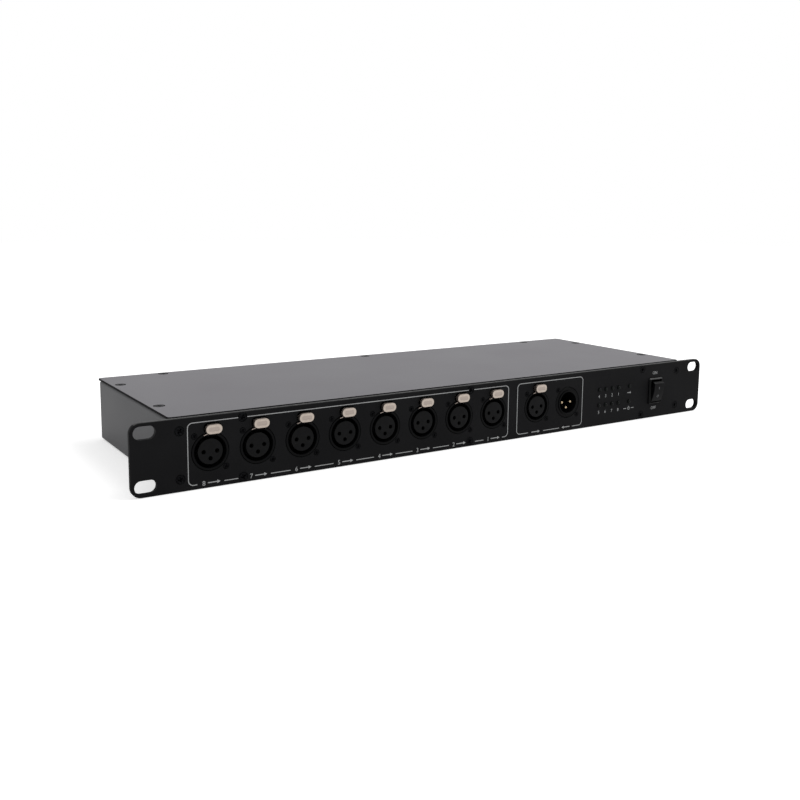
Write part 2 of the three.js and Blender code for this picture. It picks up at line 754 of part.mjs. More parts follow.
function makeTransformer() {
  const [, right, front] = powerBoardEdges();
  const low = powerBoardLow + boardThickness + seatGap;
  const [x, y] = [right - transformerInset, front + transformerInset];
  return box([x - transformerWidth, y, low], [x, y + transformerDepth, low + transformerHeight]);
}

function inletX() {
  return trayWidth / 2 - inletFromWall;
}

function inletBodySize() {
  return [inletMouthWidth + 2 * inletWall, inletMouthHeight + 2 * inletWall];
}

// Mains inlet: flange outside the rear wall, body inside it, and three blades in its mouth
function makeInlet() {
  const [width, height] = inletBodySize();
  const flangeStart = trayDepth + seatGap;
  const flangeEnd = flangeStart + inletFlangeThickness;
  const floor = flangeEnd - inletMouthDepth;
  const [mouthX, mouthZ] = [inletMouthWidth / 2, inletMouthHeight / 2];
  const mouth = new THREE.Shape([
    [-mouthX, -mouthZ],
    [mouthX, -mouthZ],
    [mouthX, mouthZ - inletMouthChamfer],
    [mouthX - inletMouthChamfer, mouthZ],
    [inletMouthChamfer - mouthX, mouthZ],
    [-mouthX, mouthZ - inletMouthChamfer],
  ].map(([x, z]) => new THREE.Vector2(x, z)));
  const flange = roundedRectangle(inletFlangeWidth, inletFlangeHeight, inletFlangeRadius);
  let body = plate(flange, flangeStart, flangeEnd)
    .add(box([-width / 2, floor - 2 * inletWall, -height / 2], [width / 2, flangeEnd, height / 2]))
    .subtract(plate(mouth, floor, flangeEnd + overrun));
  const bladeX = bladeSpacing / 2;
  for (const [x, z] of [[-bladeX, -bladeOffset], [bladeX, -bladeOffset], [0, bladeOffset]]) {
    body = body.add(box(
      [x - bladeWidth / 2, floor - inletWall, z - bladeHeight / 2],
      [x + bladeWidth / 2, floor + bladeLength, z + bladeHeight / 2],
    ));
  }
  return body;
}

// Everything is measured from the panel's face: the front group from the middle of its
// height, the chassis group from the underside.
const splitter = new THREE.Group();
const front = new THREE.Group();
const chassis = new THREE.Group();
front.position.set(0, -overallDepth / 2, midZ);
chassis.position.set(0, -overallDepth / 2, 0);
splitter.add(front, chassis);

addPiece(front, "front_panel", makePanel(), panelPaint);
addPiece(chassis, "chassis_tray", makeTray(), sheetPaint);
addPiece(chassis, "lid", makeLid(), sheetPaint);

const socketShell = makeSocketShell();
const socketInsert = makeSocketInsert();
const latch = makeLatch();
const sockets = outputXs.map((x, i) => [`output_${outputCount - i}`, x]);
for (const [name, x] of [...sockets, ["through", throughX]]) {
  addPiece(front, `${name}_shell`, socketShell, plastic, [x, 0, 0]);
  addPiece(front, `${name}_insert`, socketInsert, plastic, [x, 0, 0]);
  addPiece(front, `${name}_latch`, latch, nickel, [x, 0, 0]);
}

addPiece(front, "input_shell", makeInputShell(), plastic, [inputX, 0, 0]);
addPiece(front, "input_pin_plate", makePinPlate(), plastic, [inputX, 0, 0]);
const pin = makePin();
contactPlaces().forEach(([x, z], i) => {
  addPiece(front, `input_pin_${i + 1}`, pin, gold, [inputX + x, 0, z]);
});

addPiece(front, "lamp_board", makeLampBoard(), boardGreen);
addPiece(front, "switch_housing", makeSwitchHousing(), plastic, [switchX, 0, 0]);
const rocker = addPiece(
  front, "switch_rocker", makeRocker(), plastic, [switchX, rockerPivotDepth, 0],
);
rocker.rotation.x = THREE.MathUtils.degToRad(rockerTilt);

addPiece(front, "driver_board", makeDriverBoard(), boardGreen);
addPiece(chassis, "power_board", makePowerBoard(), boardGreen);
addPiece(chassis, "transformer", makeTransformer(), plastic);
addPiece(chassis, "mains_inlet", makeInlet(), plastic, [inletX(), 0, midZ]);

const panelScrew = crossScrew(screwHeadRadius);
panelScrewPlaces.forEach(([x, z], i) => {
  addPiece(front, `panel_screw_${i + 1}`, panelScrew, darkSteel, [x, 0, z]);
});
const lidScrewBody = crossScrew(lidScrewHeadRadius);
lidScrewPlaces.forEach(([x, y], i) => {
  const lidScrew = addPiece(chassis, `lid_screw_${i + 1}`, lidScrewBody, darkSteel, [x, y, lidTop]);
  lidScrew.rotation.x = -Math.PI / 2;
});

export default splitter;
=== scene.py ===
# A data splitter, one rack unit high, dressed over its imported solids. Shapes are worked out
# in millimetres from the middle of the front panel's face, with X to the right, Y into the
# case and Z up. They turn to metres where a piece is made.

import bmesh
import bpy
import numpy as np
from mathutils import Matrix, Vector


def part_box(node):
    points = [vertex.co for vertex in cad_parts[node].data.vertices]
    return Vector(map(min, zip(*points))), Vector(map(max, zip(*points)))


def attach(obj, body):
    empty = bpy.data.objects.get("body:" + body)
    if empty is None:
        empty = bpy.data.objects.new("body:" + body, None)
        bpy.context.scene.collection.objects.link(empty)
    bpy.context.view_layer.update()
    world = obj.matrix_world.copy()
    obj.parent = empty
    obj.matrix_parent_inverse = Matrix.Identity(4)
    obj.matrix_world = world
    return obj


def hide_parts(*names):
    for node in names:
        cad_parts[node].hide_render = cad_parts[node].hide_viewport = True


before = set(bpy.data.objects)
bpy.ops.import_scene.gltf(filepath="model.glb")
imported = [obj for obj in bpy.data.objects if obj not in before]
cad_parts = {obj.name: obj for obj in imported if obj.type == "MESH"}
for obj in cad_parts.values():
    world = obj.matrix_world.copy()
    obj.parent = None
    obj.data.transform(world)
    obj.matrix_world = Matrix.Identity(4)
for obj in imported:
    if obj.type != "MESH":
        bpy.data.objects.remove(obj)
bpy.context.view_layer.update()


# Camera: it stands to the left of the splitter and a little above it, close enough that the
# far end looks smaller. Its place, lens and lean come from the panel's slots and the case's
# edges in the photograph, cut from a taller one: the lens's axis is above its middle.
frame_pixels = 800
focal_pixels = 926.065
sensor_width = 36
axis_pixel = 345
eye = np.array([-0.390313, -0.584309, 0.163754])
turn, drop, lean = np.radians([32.986, 8.197, 0.613])

ahead = np.array([np.sin(turn) * np.cos(drop), np.cos(turn) * np.cos(drop), -np.sin(drop)])
level = np.cross(ahead, [0, 0, 1])
level /= np.linalg.norm(level)
above = np.cross(level, ahead)
placing = np.eye(4)
placing[:3, 0] = np.cos(lean) * level + np.sin(lean) * above
placing[:3, 1] = np.cos(lean) * above - np.sin(lean) * level
placing[:3, 2] = -ahead
placing[:3, 3] = eye
camera = bpy.data.objects.new("camera", bpy.data.cameras.new("camera"))
camera.data.sensor_width = sensor_width
camera.data.lens = sensor_width * focal_pixels / frame_pixels
camera.data.shift_y = axis_pixel / frame_pixels - 0.5
camera.data.clip_start = 0.01
camera.matrix_world = Matrix(placing.tolist())
bpy.context.collection.objects.link(camera)
bpy.context.scene.camera = camera
bpy.context.scene.view_settings.view_transform = "Standard"


# Light and floor: an even white studio, with one wide soft lamp up on the right, so that the
# left wall is the darker one and top edges catch the lamp. What the camera, gloss and glass
# see beyond is plain white.
room_level = 0.62
lamp_place = Vector((1.44, -0.64, 2.24))
lamp_width = 1.6
lamp_watts = 32
floor_half = 4
floor_depth = 0.0002
floor_white = "#f0f0f0"
floor_fill = 0.5


def linear(colour):
    """An sRGB hex colour as linear light: a power of 2.4, or a twelfth or so where dark."""
    s = np.array([int(colour[i:i + 2], 16) for i in (1, 3, 5)]) / 255
    light = np.where(s <= 0.04045, s / 12.92, ((s + 0.055) / 1.055) ** 2.4)
    return (*light.tolist(), 1.0)


def add_node(tree, kind, inputs, **settings):
    """Adds a node; each of its inputs gets a value, or a link from another node's socket."""
    node = tree.nodes.new(kind)
    for name, value in settings.items():
        setattr(node, name, value)
    for name, value in inputs.items():
        if isinstance(value, bpy.types.NodeSocket):
            tree.links.new(value, node.inputs[name])
        else:
            node.inputs[name].default_value = value
    return node


def ranged(tree, amount, start, end, low=0, high=1):
    """The amount from start to end, stretched to the range from low to high."""
    return add_node(tree, "ShaderNodeMapRange", {
        "Value": amount,
        "From Min": start,
        "From Max": end,
        "To Min": low,
        "To Max": high,
    }).outputs[0]


def seen_directly(tree):
    """1 for rays from the camera or off gloss or through glass, and 0 for other light."""
    path = add_node(tree, "ShaderNodeLightPath", {}).outputs
    first = {0: path["Is Camera Ray"], 1: path["Is Glossy Ray"]}
    either = add_node(tree, "ShaderNodeMath", first, operation="MAXIMUM")
    second = {0: either.outputs[0], 1: path["Is Transmission Ray"]}
    return add_node(tree, "ShaderNodeMath", second, operation="MAXIMUM").outputs[0]


world = bpy.data.worlds.new("studio")
bpy.context.scene.world = world
world.use_nodes = True
tree = world.node_tree
tree.nodes.clear()
background = add_node(tree, "ShaderNodeBackground", {
    "Color": linear("#ffffff"),
    "Strength": ranged(tree, seen_directly(tree), 0, 1, room_level),
})
add_node(tree, "ShaderNodeOutputWorld", {"Surface": background.outputs[0]})

lamp = bpy.data.objects.new("soft_lamp", bpy.data.lights.new("soft_lamp", "AREA"))
lamp.data.size = lamp_width
lamp.data.energy = lamp_watts
lamp.location = lamp_place
lamp.rotation_euler = lamp_place.to_track_quat("Z", "Y").to_euler()
bpy.context.collection.objects.link(lamp)

floor_paint = bpy.data.materials.new("floor_matt_white")
floor_paint.use_nodes = True
tree = floor_paint.node_tree
tree.nodes.clear()
diffuse = add_node(tree, "ShaderNodeBsdfDiffuse", {"Color": linear(floor_white)})
factors = {0: seen_directly(tree), 1: floor_fill}
fill = add_node(tree, "ShaderNodeMath", factors, operation="MULTIPLY").outputs[0]
glow = add_node(tree, "ShaderNodeEmission", {"Color": linear("#ffffff"), "Strength": fill})
both = add_node(tree, "ShaderNodeAddShader", {0: diffuse.outputs[0], 1: glow.outputs[0]})
add_node(tree, "ShaderNodeOutputMaterial", {"Surface": both.outputs[0]})

corners = floor_half * np.array([[-1, -1], [1, -1], [1, 1], [-1, 1]])
floor_mesh = bpy.data.meshes.new("floor")
floor_points = np.column_stack([corners, np.full(4, -floor_depth)])
floor_mesh.from_pydata(floor_points.tolist(), [], [(0, 1, 2, 3)])
floor_mesh.materials.append(floor_paint)
floor = bpy.data.objects.new("floor", floor_mesh)
bpy.context.collection.objects.link(floor)


# Tray: one sheet of 1.2 mm steel, folded up at both sides and the rear and turned in at the
# top, where the lid is screwed down. It is powder coated black after folding.
face_box = np.array(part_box("front_panel"))
face_middle = np.array([0, face_box[0, 1], face_box[:, 2].mean()])


def measured(node):
    """A node's low and high corner in millimetres from the middle of the panel's face."""
    return (np.array(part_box(node)) - face_middle) * 1000


def rounded(corners, radius, steps=4, closed=True):
    """Points and outward normals of a path with arcs for corners, anticlockwise. An arc has
    its centre where both edges meet after they are moved in by the radius, and its normals
    turn evenly from one edge's to the next edge's."""
    corners = np.asarray(corners, float)
    edges = np.roll(corners, -1, 0) - corners
    if not closed:
        edges[-1] = edges[-2]
    after = np.column_stack([edges[:, 1], -edges[:, 0]])
    after /= np.linalg.norm(after, axis=1, keepdims=True)
    before = np.roll(after, 1, 0)
    if not closed:
        before[0] = after[0]
    together = (before * after).sum(1)
    bend = np.arctan2(before[:, 0] * after[:, 1] - before[:, 1] * after[:, 0], together)
    start = np.arctan2(before[:, 1], before[:, 0])
    angles = start[:, None] + bend[:, None] * np.linspace(0, 1, steps + 1)
    normals = np.stack([np.cos(angles), np.sin(angles)], -1)
    reach = (radius * np.sign(bend))[:, None]
    centres = corners - reach * (before + after) / (1 + together)[:, None]
    points = centres[:, None] + reach[:, None] * normals
    return points.reshape(-1, 2), normals.reshape(-1, 2)


def rectangle(width, height, x=0, z=0):
    """Corners of an upright rectangle, anticlockwise from the lower left."""
    half = np.array([width, height]) / 2
    return half * np.array([[-1, -1], [1, -1], [1, 1], [-1, 1]]) + [x, z]


def new_material(name, sockets):
    """A material whose shader has these sockets set, with its tree and its place in space."""
    material = bpy.data.materials.new(name)
    material.use_nodes = True
    tree = material.node_tree
    shader = tree.nodes["Principled BSDF"]
    for socket, value in sockets.items():
        shader.inputs[socket].default_value = value
    place = add_node(tree, "ShaderNodeTexCoord", {}).outputs["Object"]
    return material, tree, shader, place


def add_grain(tree, place, size, detail=2):
    """Noise from 0 to 1 whose blots are about size millimetres across."""
    sockets = {"Vector": place, "Scale": 1000 / size, "Detail": detail}
    return add_node(tree, "ShaderNodeTexNoise", sockets).outputs["Fac"]


def blended(tree, share, first, second):
    """The first colour where the share is 0, and the second where it is 1. The colours are a
    mix node's inputs 6 and 7, and its output 2."""
    mix = add_node(tree, "ShaderNodeMix", {0: share, 6: first, 7: second}, data_type="RGBA")
    return mix.outputs[2]


def set_colour(tree, shader, amount, dark, light, low=0.35, high=0.65):
    """The base colour goes from dark to light as the amount goes from low to high."""
    colour = blended(tree, ranged(tree, amount, low, high), linear(dark), linear(light))
    tree.links.new(colour, shader.inputs["Base Color"])
    return colour


def set_roughness(tree, shader, amount, low, high):
    """Roughness from low to high over the middle half of the amount."""
    tree.links.new(ranged(tree, amount, 0.25, 0.75, low, high), shader.inputs["Roughness"])


def set_relief(tree, shader, amount, height):
    """Bumps as high as the given millimetres where the amount is 1."""
    bump = add_node(tree, "ShaderNodeBump", {"Height": amount, "Distance": height / 1000})
    tree.links.new(bump.outputs[0], shader.inputs["Normal"])


def mottled(
    name, size, colours, roughness, gloss=0.5, detail=2, relief=None, span=(0.35, 0.65), **sockets
):
    """A material whose colour and roughness follow one noise of this size. Gloss is the
    shader's specular level, relief is a finer noise's size and height in millimetres, and
    the span is the part of the noise over which the colour goes from first to second."""
    material, tree, shader, place = new_material(name, {"Specular IOR Level": gloss, **sockets})
    amount = add_grain(tree, place, size, detail)
    set_colour(tree, shader, amount, *colours, *span)
    set_roughness(tree, shader, amount, *roughness)
    if relief:
        set_relief(tree, shader, add_grain(tree, place, relief[0]), relief[1])
    return material


# Powder coat on steel: satin black whose fine pebbling of half a millimetre, drawn at twice
# that to show, breaks up the white that it mirrors at a flat angle.
coat_grain = 1.0
coat_blotch = 60
# This copy is painted darker than the lid's: painted shade on the walls.
case_coat = mottled(
    "case_powder_coat", coat_blotch, ("#2f2f32", "#333336"), (0.42, 0.48),
    gloss=0.16, relief=(coat_grain, 0.02),
)


def at_depth(outline, depth):
    """An outline in X and Z, given its depth in Y."""
    return np.column_stack([outline[:, 0], np.full(len(outline), depth), outline[:, 1]])


def carried(path, profile):
    """A profile carried round a path: each of its pairs moves the path out along its normals
    by the first number and back by the second."""
    points, normals = path
    return np.stack([at_depth(points + offset * normals, depth) for offset, depth in profile])


def skin(rows, ends="capped"):
    """A shell over a grid whose every row closes on itself: points, the corners of all faces
    in one run, and the faces' sizes. Its two end rows are capped, joined or left open."""
    count, length = rows.shape[:2]
    grid = np.arange(count * length).reshape(count, length)
    beside = np.roll(grid, -1, 1)
    quads = np.stack([grid, beside, np.roll(beside, -1, 0), np.roll(grid, -1, 0)], -1)
    if ends != "joined":
        quads = quads[:-1]
    caps = [length, length] if ends == "capped" else []
    corners = np.append(quads.ravel(), grid[[0, -1]] if caps else [])
    sizes = np.append(np.full(quads.size // 4, 4), caps)
    return rows.reshape(-1, 3), corners.astype(int), sizes.astype(int)


def joined(shells):
    """Shells as one shell, with the corners counted on from each to the next."""
    firsts = np.cumsum([0] + [len(shell[0]) for shell in shells[:-1]])
    points = np.concatenate([shell[0] for shell in shells])
    corners = np.concatenate([shell[1] + first for shell, first in zip(shells, firsts)])
    return points, corners, np.concatenate([shell[2] for shell in shells])


merge_distance = 2e-7


def make_piece(name, shells, material, stands_for, body="chassis", sharp=35):
    """One object from shells in millimetres, put into metres in the frame, with its doubled
    points merged and its faces turned outwards. Shading follows the larger of two faces, so
    that a flat face stays flat beside its rounded rim."""
    points, corners, sizes = joined(shells)
    points = points / 1000 + face_middle
    mesh = bpy.data.meshes.new(name)
    mesh.vertices.add(len(points))
    mesh.vertices.foreach_set("co", points.ravel())
    mesh.loops.add(len(corners))
    mesh.loops.foreach_set("vertex_index", corners)
    mesh.polygons.add(len(sizes))
    mesh.polygons.foreach_set("loop_start", np.cumsum(sizes) - sizes)
    mesh.update(calc_edges=True)
    shape = bmesh.new()
    shape.from_mesh(mesh)
    bmesh.ops.remove_doubles(shape, verts=shape.verts, dist=merge_distance)
    bmesh.ops.recalc_face_normals(shape, faces=shape.faces)
    shape.to_mesh(mesh)
    shape.free()
    mesh.shade_smooth()
    mesh.set_sharp_from_angle(angle=np.radians(sharp))
    mesh.materials.append(material)
    piece = bpy.data.objects.new(name, mesh)
    piece.modifiers.new("flat_faces", "WEIGHTED_NORMAL").keep_sharp = True
    bpy.context.collection.objects.link(piece)
    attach(piece, body)
    if stands_for:
        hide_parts(*stands_for)
    return piece


sheet = 1.2
bend_radius = 2.2
bend_steps = 8
floor_reach = 12
flange_width = 9.5
inlet_gap = 0.25
tray_low, tray_high = measured("chassis_tray")
inlet_low, inlet_high = measured("mains_inlet")
inlet_body = np.array([27.4, 19.6])
inlet_middle = (inlet_low + inlet_high) / 2
opening_low = inlet_middle[[0, 2]] - inlet_body / 2 - inlet_gap
opening_high = inlet_middle[[0, 2]] + inlet_body / 2 + inlet_gap


def wall_profile(inset, radius):
    """One side of the folded sheet, from the floor up the wall and in along the flange, as
    its distance in from the wall's outer face and its height."""
    low, high = tray_low[2] + inset, tray_high[2] - inset
    places = [
        [-floor_reach, low],
        [-inset, low],
        [-inset, opening_low[1]],
        [-inset, opening_high[1]],
        [-inset, high],
        [-flange_width, high],
    ]
    return rounded(places, radius, bend_steps, closed=False)[0] * [-1, 1]


def fold_tray():
    """Both sides of the sheet carried along the left, rear and right walls with mitred
    corners, an opening left in the rear, and the floor and the front edge closed."""
    outer = wall_profile(0, bend_radius)
    inner = wall_profile(sheet, bend_radius - sheet)[::-1]
    profile = np.concatenate([outer, inner])
    front, rear = tray_low[1], tray_high[1]
    left, right = tray_low[0], tray_high[0]
    starts = np.array([
        [left, front],
        [left, rear],
        [opening_low[0], rear],
        [opening_high[0], rear],
        [right, rear],
        [right, front],
    ])
    inward = np.array([[1, 0], [1, -1], [0, -1], [0, -1], [-1, -1], [-1, 0]])
    plan = starts + profile[:, None, :1] * inward
    height = np.broadcast_to(profile[:, None, 1:], (*plan.shape[:2], 1))
    points = np.concatenate([plan, height], -1)
    count, length = plan.shape[:2]
    grid = np.arange(count * length).reshape(count, length)
    quads = np.stack([grid[:-1, :-1], grid[:-1, 1:], grid[1:, 1:], grid[1:, :-1]], -1)
    # The rows of faces beside the opening, on the outside and on the inside: the profile's
    # first three corners lie below it, and its inner half runs the other way.
    outside = 3 * (bend_steps + 1) - 1
    inside = count - 2 - outside
    kept = np.ones(quads.shape[:2], bool)
    kept[[outside, inside], 2] = False
    low, high = grid[[outside, inside + 1], 2:4], grid[[outside + 1, inside], 2:4]
    edges = np.array([
        [*low[0], *low[1, ::-1]],
        [*high[0], *high[1, ::-1]],
        [*low[:, 0], *high[::-1, 0]],
        [*low[:, 1], *high[::-1, 1]],
    ])
    front_edge = np.concatenate([grid[:, 0], grid[::-1, -1]])
    corners = [quads[kept].ravel(), edges.ravel(), grid[0], grid[-1], front_edge]
    sizes = [np.full(kept.sum() + len(edges), 4), [length, length, len(front_edge)]]
    return points.reshape(-1, 3), np.concatenate(corners), np.concatenate(sizes)


lip_height = 8.5
lip_width = 9.9
lip_corner = 0.3
sheet_rounding = 0.1
standoff_radius = 3
standoff_height = 6
standoff_inset = 5
standoff_rounding = 0.2
fine_sides = 64
hole_sides = 32
round_sides = 24
small_sides = 20
board_low, board_high = measured("power_board")


def meshed(curve):
    """A curve's mesh as a shell."""
    mesh = bpy.data.meshes.new_from_object(bpy.data.objects.new("flat", curve))
    points = np.empty(len(mesh.vertices) * 3)
    mesh.vertices.foreach_get("co", points)
    corners = np.empty(len(mesh.loops), int)
    mesh.loops.foreach_get("vertex_index", corners)
    sizes = np.empty(len(mesh.polygons), int)
    mesh.polygons.foreach_get("loop_total", sizes)
    return points.reshape(-1, 3), corners, sizes


def filled(outlines):
    """One flat face inside the first outline and outside the others."""
    curve = bpy.data.curves.new("face", "CURVE")
    curve.dimensions = "2D"
    curve.fill_mode = "BOTH"
    for outline in outlines:
        spline = curve.splines.new("POLY")
        spline.points.add(len(outline) - 1)
        flat = np.column_stack([outline, np.zeros(len(outline)), np.ones(len(outline))])
        spline.points.foreach_set("co", flat.ravel())
        spline.use_cyclic_u = True
    return meshed(curve)


def mitres(outline):
    """At each point the move that takes both edges out by one: the sum of their normals over
    one plus their product."""
    edges = np.roll(outline, -1, 0) - outline
    after = np.column_stack([edges[:, 1], -edges[:, 0]])
    after /= np.linalg.norm(after, axis=1, keepdims=True)
    before = np.roll(after, 1, 0)
    return (before + after) / (1 + (before * after).sum(1, keepdims=True))


# What lies along X, Y and Z in a sheet: 0 and 1 are its outline's axes, and 2 its thickness.
facing_front = [0, 2, 1]
facing_side = [2, 0, 1]
lying = [0, 1, 2]


def flat_plate(outlines, low, high, rounding=0, order=facing_front, hole_rounding=None):
    """A sheet from low to high: the first outline is its edge, the others are holes, and each
    rim meets both faces in a quarter round."""
    if hole_rounding is None:
        hole_rounding = rounding
    moves = [-rounding] + [hole_rounding] * (len(outlines) - 1)
    paths = [(outline, mitres(outline)) for outline in outlines]
    points, corners, sizes = filled([path[0] + move * path[1] for path, move in zip(paths, moves)])
    shells = [(points + [0, 0, height], corners, sizes) for height in (low, high)]
    share = 1 - np.sqrt(0.5)
    for path, move in zip(paths, moves):
        rows = carried(path, [
            (move, low),
            (share * move, low + share * abs(move)),
            (0, low + abs(move)),
            (0, high - abs(move)),
            (share * move, high - share * abs(move)),
            (move, high),
        ])
        shells.append(skin(rows[:, :, [0, 2, 1]], "open"))
    points, corners, sizes = joined(shells)
    return points[:, order], corners, sizes


def circle(radius, sides, x=0, z=0):
    """Points at even angles, anticlockwise."""
    angles = np.linspace(0, 2 * np.pi, sides, endpoint=False)
    return radius * np.column_stack([np.cos(angles), np.sin(angles)]) + [x, z]


tray_shells = [fold_tray()]
side_lip = (lip_width - sheet, tray_high[2] - tray_low[2] - 2 * sheet)
side_lip_x = tray_high[0] - (sheet + lip_width) / 2
side_lip_z = (tray_low[2] + tray_high[2]) / 2
lower_lip = (2 * (tray_high[0] - lip_width), lip_height - sheet)
lower_lip_z = tray_low[2] + (sheet + lip_height) / 2
for lip in [
    rectangle(*side_lip, -side_lip_x, side_lip_z),
    rectangle(*side_lip, side_lip_x, side_lip_z),
    rectangle(*lower_lip, 0, lower_lip_z),
]:
    outline = rounded(lip, lip_corner)[0]
    tray_shells.append(flat_plate([outline], tray_low[1], tray_low[1] + sheet, sheet_rounding))
standoff_low = tray_low[2] + sheet / 2
for x in (board_low[0] + standoff_inset, board_high[0] - standoff_inset):
    for y in (board_low[1] + standoff_inset, board_high[1] - standoff_inset):
        tray_shells.append(flat_plate(
            [circle(standoff_radius, round_sides, x, y)],
            standoff_low, standoff_low + standoff_height, standoff_rounding, lying,
        ))
make_piece("tray", tray_shells, case_coat, ["chassis_tray"], sharp=30)


# Boards and transformer: the driver board stands on the backs of the sockets, the power board
# lies on the standoffs, and the transformer sits on it. They keep their solids.
#
# Glass-epoxy laminate under green solder mask: the weave of 0.5 mm, drawn at 1.5 mm, shows
# as a faint check under a glossy skin.
weave = 1.5
laminate, tree, shader, place = new_material("board_laminate", {"Roughness": 0.35})
wave = add_node(tree, "ShaderNodeTexChecker", {
    "Vector": place,
    "Scale": 1000 / weave,
    "Color1": linear("#1c5334"),
    "Color2": linear("#20603b"),
})
tree.links.new(wave.outputs["Color"], shader.inputs["Base Color"])
set_relief(tree, shader, add_grain(tree, place, weave), 0.02)

# Stacked iron sheets dipped in brown varnish: level bands, drawn wider than the sheets. A wave
# texture turns through twenty radians to a unit, and the bands take 1.5 mm to a radian.
wave_radians = 20
stack_per_radian = 1.5
varnished_iron, tree, shader, place = new_material("varnished_iron", {"Metallic": 0.7})
lines = add_node(tree, "ShaderNodeTexWave", {
    "Vector": place,
    "Scale": 1000 / stack_per_radian / wave_radians,
    "Distortion": 0.4,
}, bands_direction="Z")
set_colour(tree, shader, lines.outputs["Fac"], "#2b2420", "#4a4038")
set_roughness(tree, shader, add_grain(tree, place, 6), 0.35, 0.6)
set_relief(tree, shader, lines.outputs["Fac"], 0.1)

for node_name, node_material in [
    ("driver_board", laminate),
    ("power_board", laminate),
    ("transformer", varnished_iron),
]:
    for material_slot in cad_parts[node_name].material_slots:
        material_slot.material = node_material


# Mains inlet: a moulded block snapped into the rear wall, with three plated blades in its
# mouth. The mouth's two upper corners are cut so that the plug goes in one way only.
inlet_flange = 2.2
inlet_corner = 3
inlet_rounding = 0.3
mouth_size = np.array([24.4, 16.6])
mouth_cut = 4
mouth_radius = 1
inlet_wall = 1.5
mouth_depth = 17
blade_size = (2, 4)
blade_length = 12
blade_corner = 0.3
blade_taper = 0.8
blade_tip_inset = 0.45
blade_places = [(-7, -2), (7, -2), (0, 2)]

# Glass-filled nylon, moulded: a dull black with a faint cloudiness where the glass lies.
dull_nylon = mottled(
    "inlet_nylon", 5, ("#161617", "#212123"), (0.42, 0.58),
    detail=3, relief=(0.7, 0.02), IOR=1.53,
)

# Nickel on brass, pressed: bright and slightly yellow, with fine lines along the press.
plated_brass, tree, shader, place = new_material("blade_nickel", {"Metallic": 1})
stretched = add_node(tree, "ShaderNodeMapping", {"Vector": place, "Scale": (1, 0.1, 1)}).outputs[0]
press_lines = add_grain(tree, stretched, 0.4)
set_colour(tree, shader, press_lines, "#bdb4a4", "#d8cfbe")
set_roughness(tree, shader, press_lines, 0.18, 0.34)

mouth_corners = mouth_size / 2 * np.array([[-1, -1], [1, -1], [1, 1], [1, 1], [-1, 1], [-1, 1]])
mouth_corners += mouth_cut * np.array([[0, 0], [0, 0], [0, -1], [-1, 0], [1, 0], [0, -1]])
mouth_path = rounded(mouth_corners + inlet_middle[[0, 2]], mouth_radius)
flange_size = (inlet_high - inlet_low)[[0, 2]]
flange_outline = rounded(rectangle(*flange_size, *inlet_middle[[0, 2]]), inlet_corner, steps=8)[0]
inlet_face = inlet_high[1]
mouth_floor = inlet_face - mouth_depth
body_end = mouth_floor - 2 * inlet_wall
inlet_cup = skin(carried(mouth_path, [
    (0, mouth_floor),
    (0, inlet_face - inlet_rounding),
    (inlet_wall, inlet_face - inlet_rounding),
    (inlet_wall, body_end),
]))
inlet_plate = flat_plate(
    [flange_outline, mouth_path[0]], inlet_face - inlet_flange, inlet_face, inlet_rounding,
)
make_piece("inlet_moulding", [inlet_plate, inlet_cup], dull_nylon, ["mains_inlet"])
blades = []
for x, z in blade_places:
    middle = inlet_middle[[0, 2]] + [x, z]
    path = rounded(rectangle(*blade_size, *middle), blade_corner)
    blades.append(skin(carried(path, [
        (0, mouth_floor - inlet_wall),
        (0, mouth_floor + blade_length - blade_taper),
        (-blade_tip_inset, mouth_floor + blade_length),
    ])))
make_piece("inlet_blades", blades, plated_brass, ["mains_inlet"])


# Lid: a flat steel sheet laid on the tray's flanges, 1.1 mm proud of its walls, with three
# tabs folded down behind the panel. It has the tray's powder coat and seven sunk screws.
lid_corner = 2.5
lid_rounding = 0.45
lid_lift = 0.02
screw_gap = 0.25
lid_head_radius = 3
lid_screw_count = 7
lid_tab_width = 6
lid_tab_corner = 0.2
lid_tab_screw_numbers = (5, 7, 9)
lid_low, lid_high = measured("lid")
lid_sheet_low = tray_high[2] + lid_lift
lid_screws = [measured(f"lid_screw_{i + 1}").mean(0) for i in range(lid_screw_count)]
lid_tab_screws = [measured(f"panel_screw_{i}").mean(0) for i in lid_tab_screw_numbers]
edge_angle = np.radians(20)


def coat_edges(piece, coat, axis, lowest):
    """A second material on a sheet's edges: on faces whose normal lies more than the edge
    angle off the sheet's axis, and whose middle is above a height in millimetres. It is a
    real coat on the panel's top edge, painted shade on the lid's edges, and a painted
    highlight on the bezel's upper bevel."""
    faces = piece.data.polygons
    normals, middles = np.empty(len(faces) * 3), np.empty(len(faces) * 3)
    faces.foreach_get("normal", normals)
    faces.foreach_get("center", middles)
    on_edge = np.abs(normals[axis::3]) < np.cos(edge_angle)
    on_edge &= middles[2::3] > face_middle[2] + lowest / 1000
    piece.data.materials.append(coat)
    faces.foreach_set("material_index", on_edge.astype(np.int32))


# The tray's powder coat, smoother where it lay flat to dry, so that it mirrors more, and painted
# lighter than on the tray: painted light on the lid's top.
lid_coat_painted_light = mottled(
    "lid_powder_coat_painted_light", coat_blotch, ("#424047", "#48454c"), (0.4, 0.45),
    relief=(coat_grain, 0.015),
)

# The lid's edges in near-black: painted shade for the shadow gap under the lid's edge, a black
# line round the grey top.
lid_rim_painted_shade = mottled("lid_edges_painted_shade", 2, ("#060607", "#0e0e0f"), (0.5, 0.7), gloss=0.02)

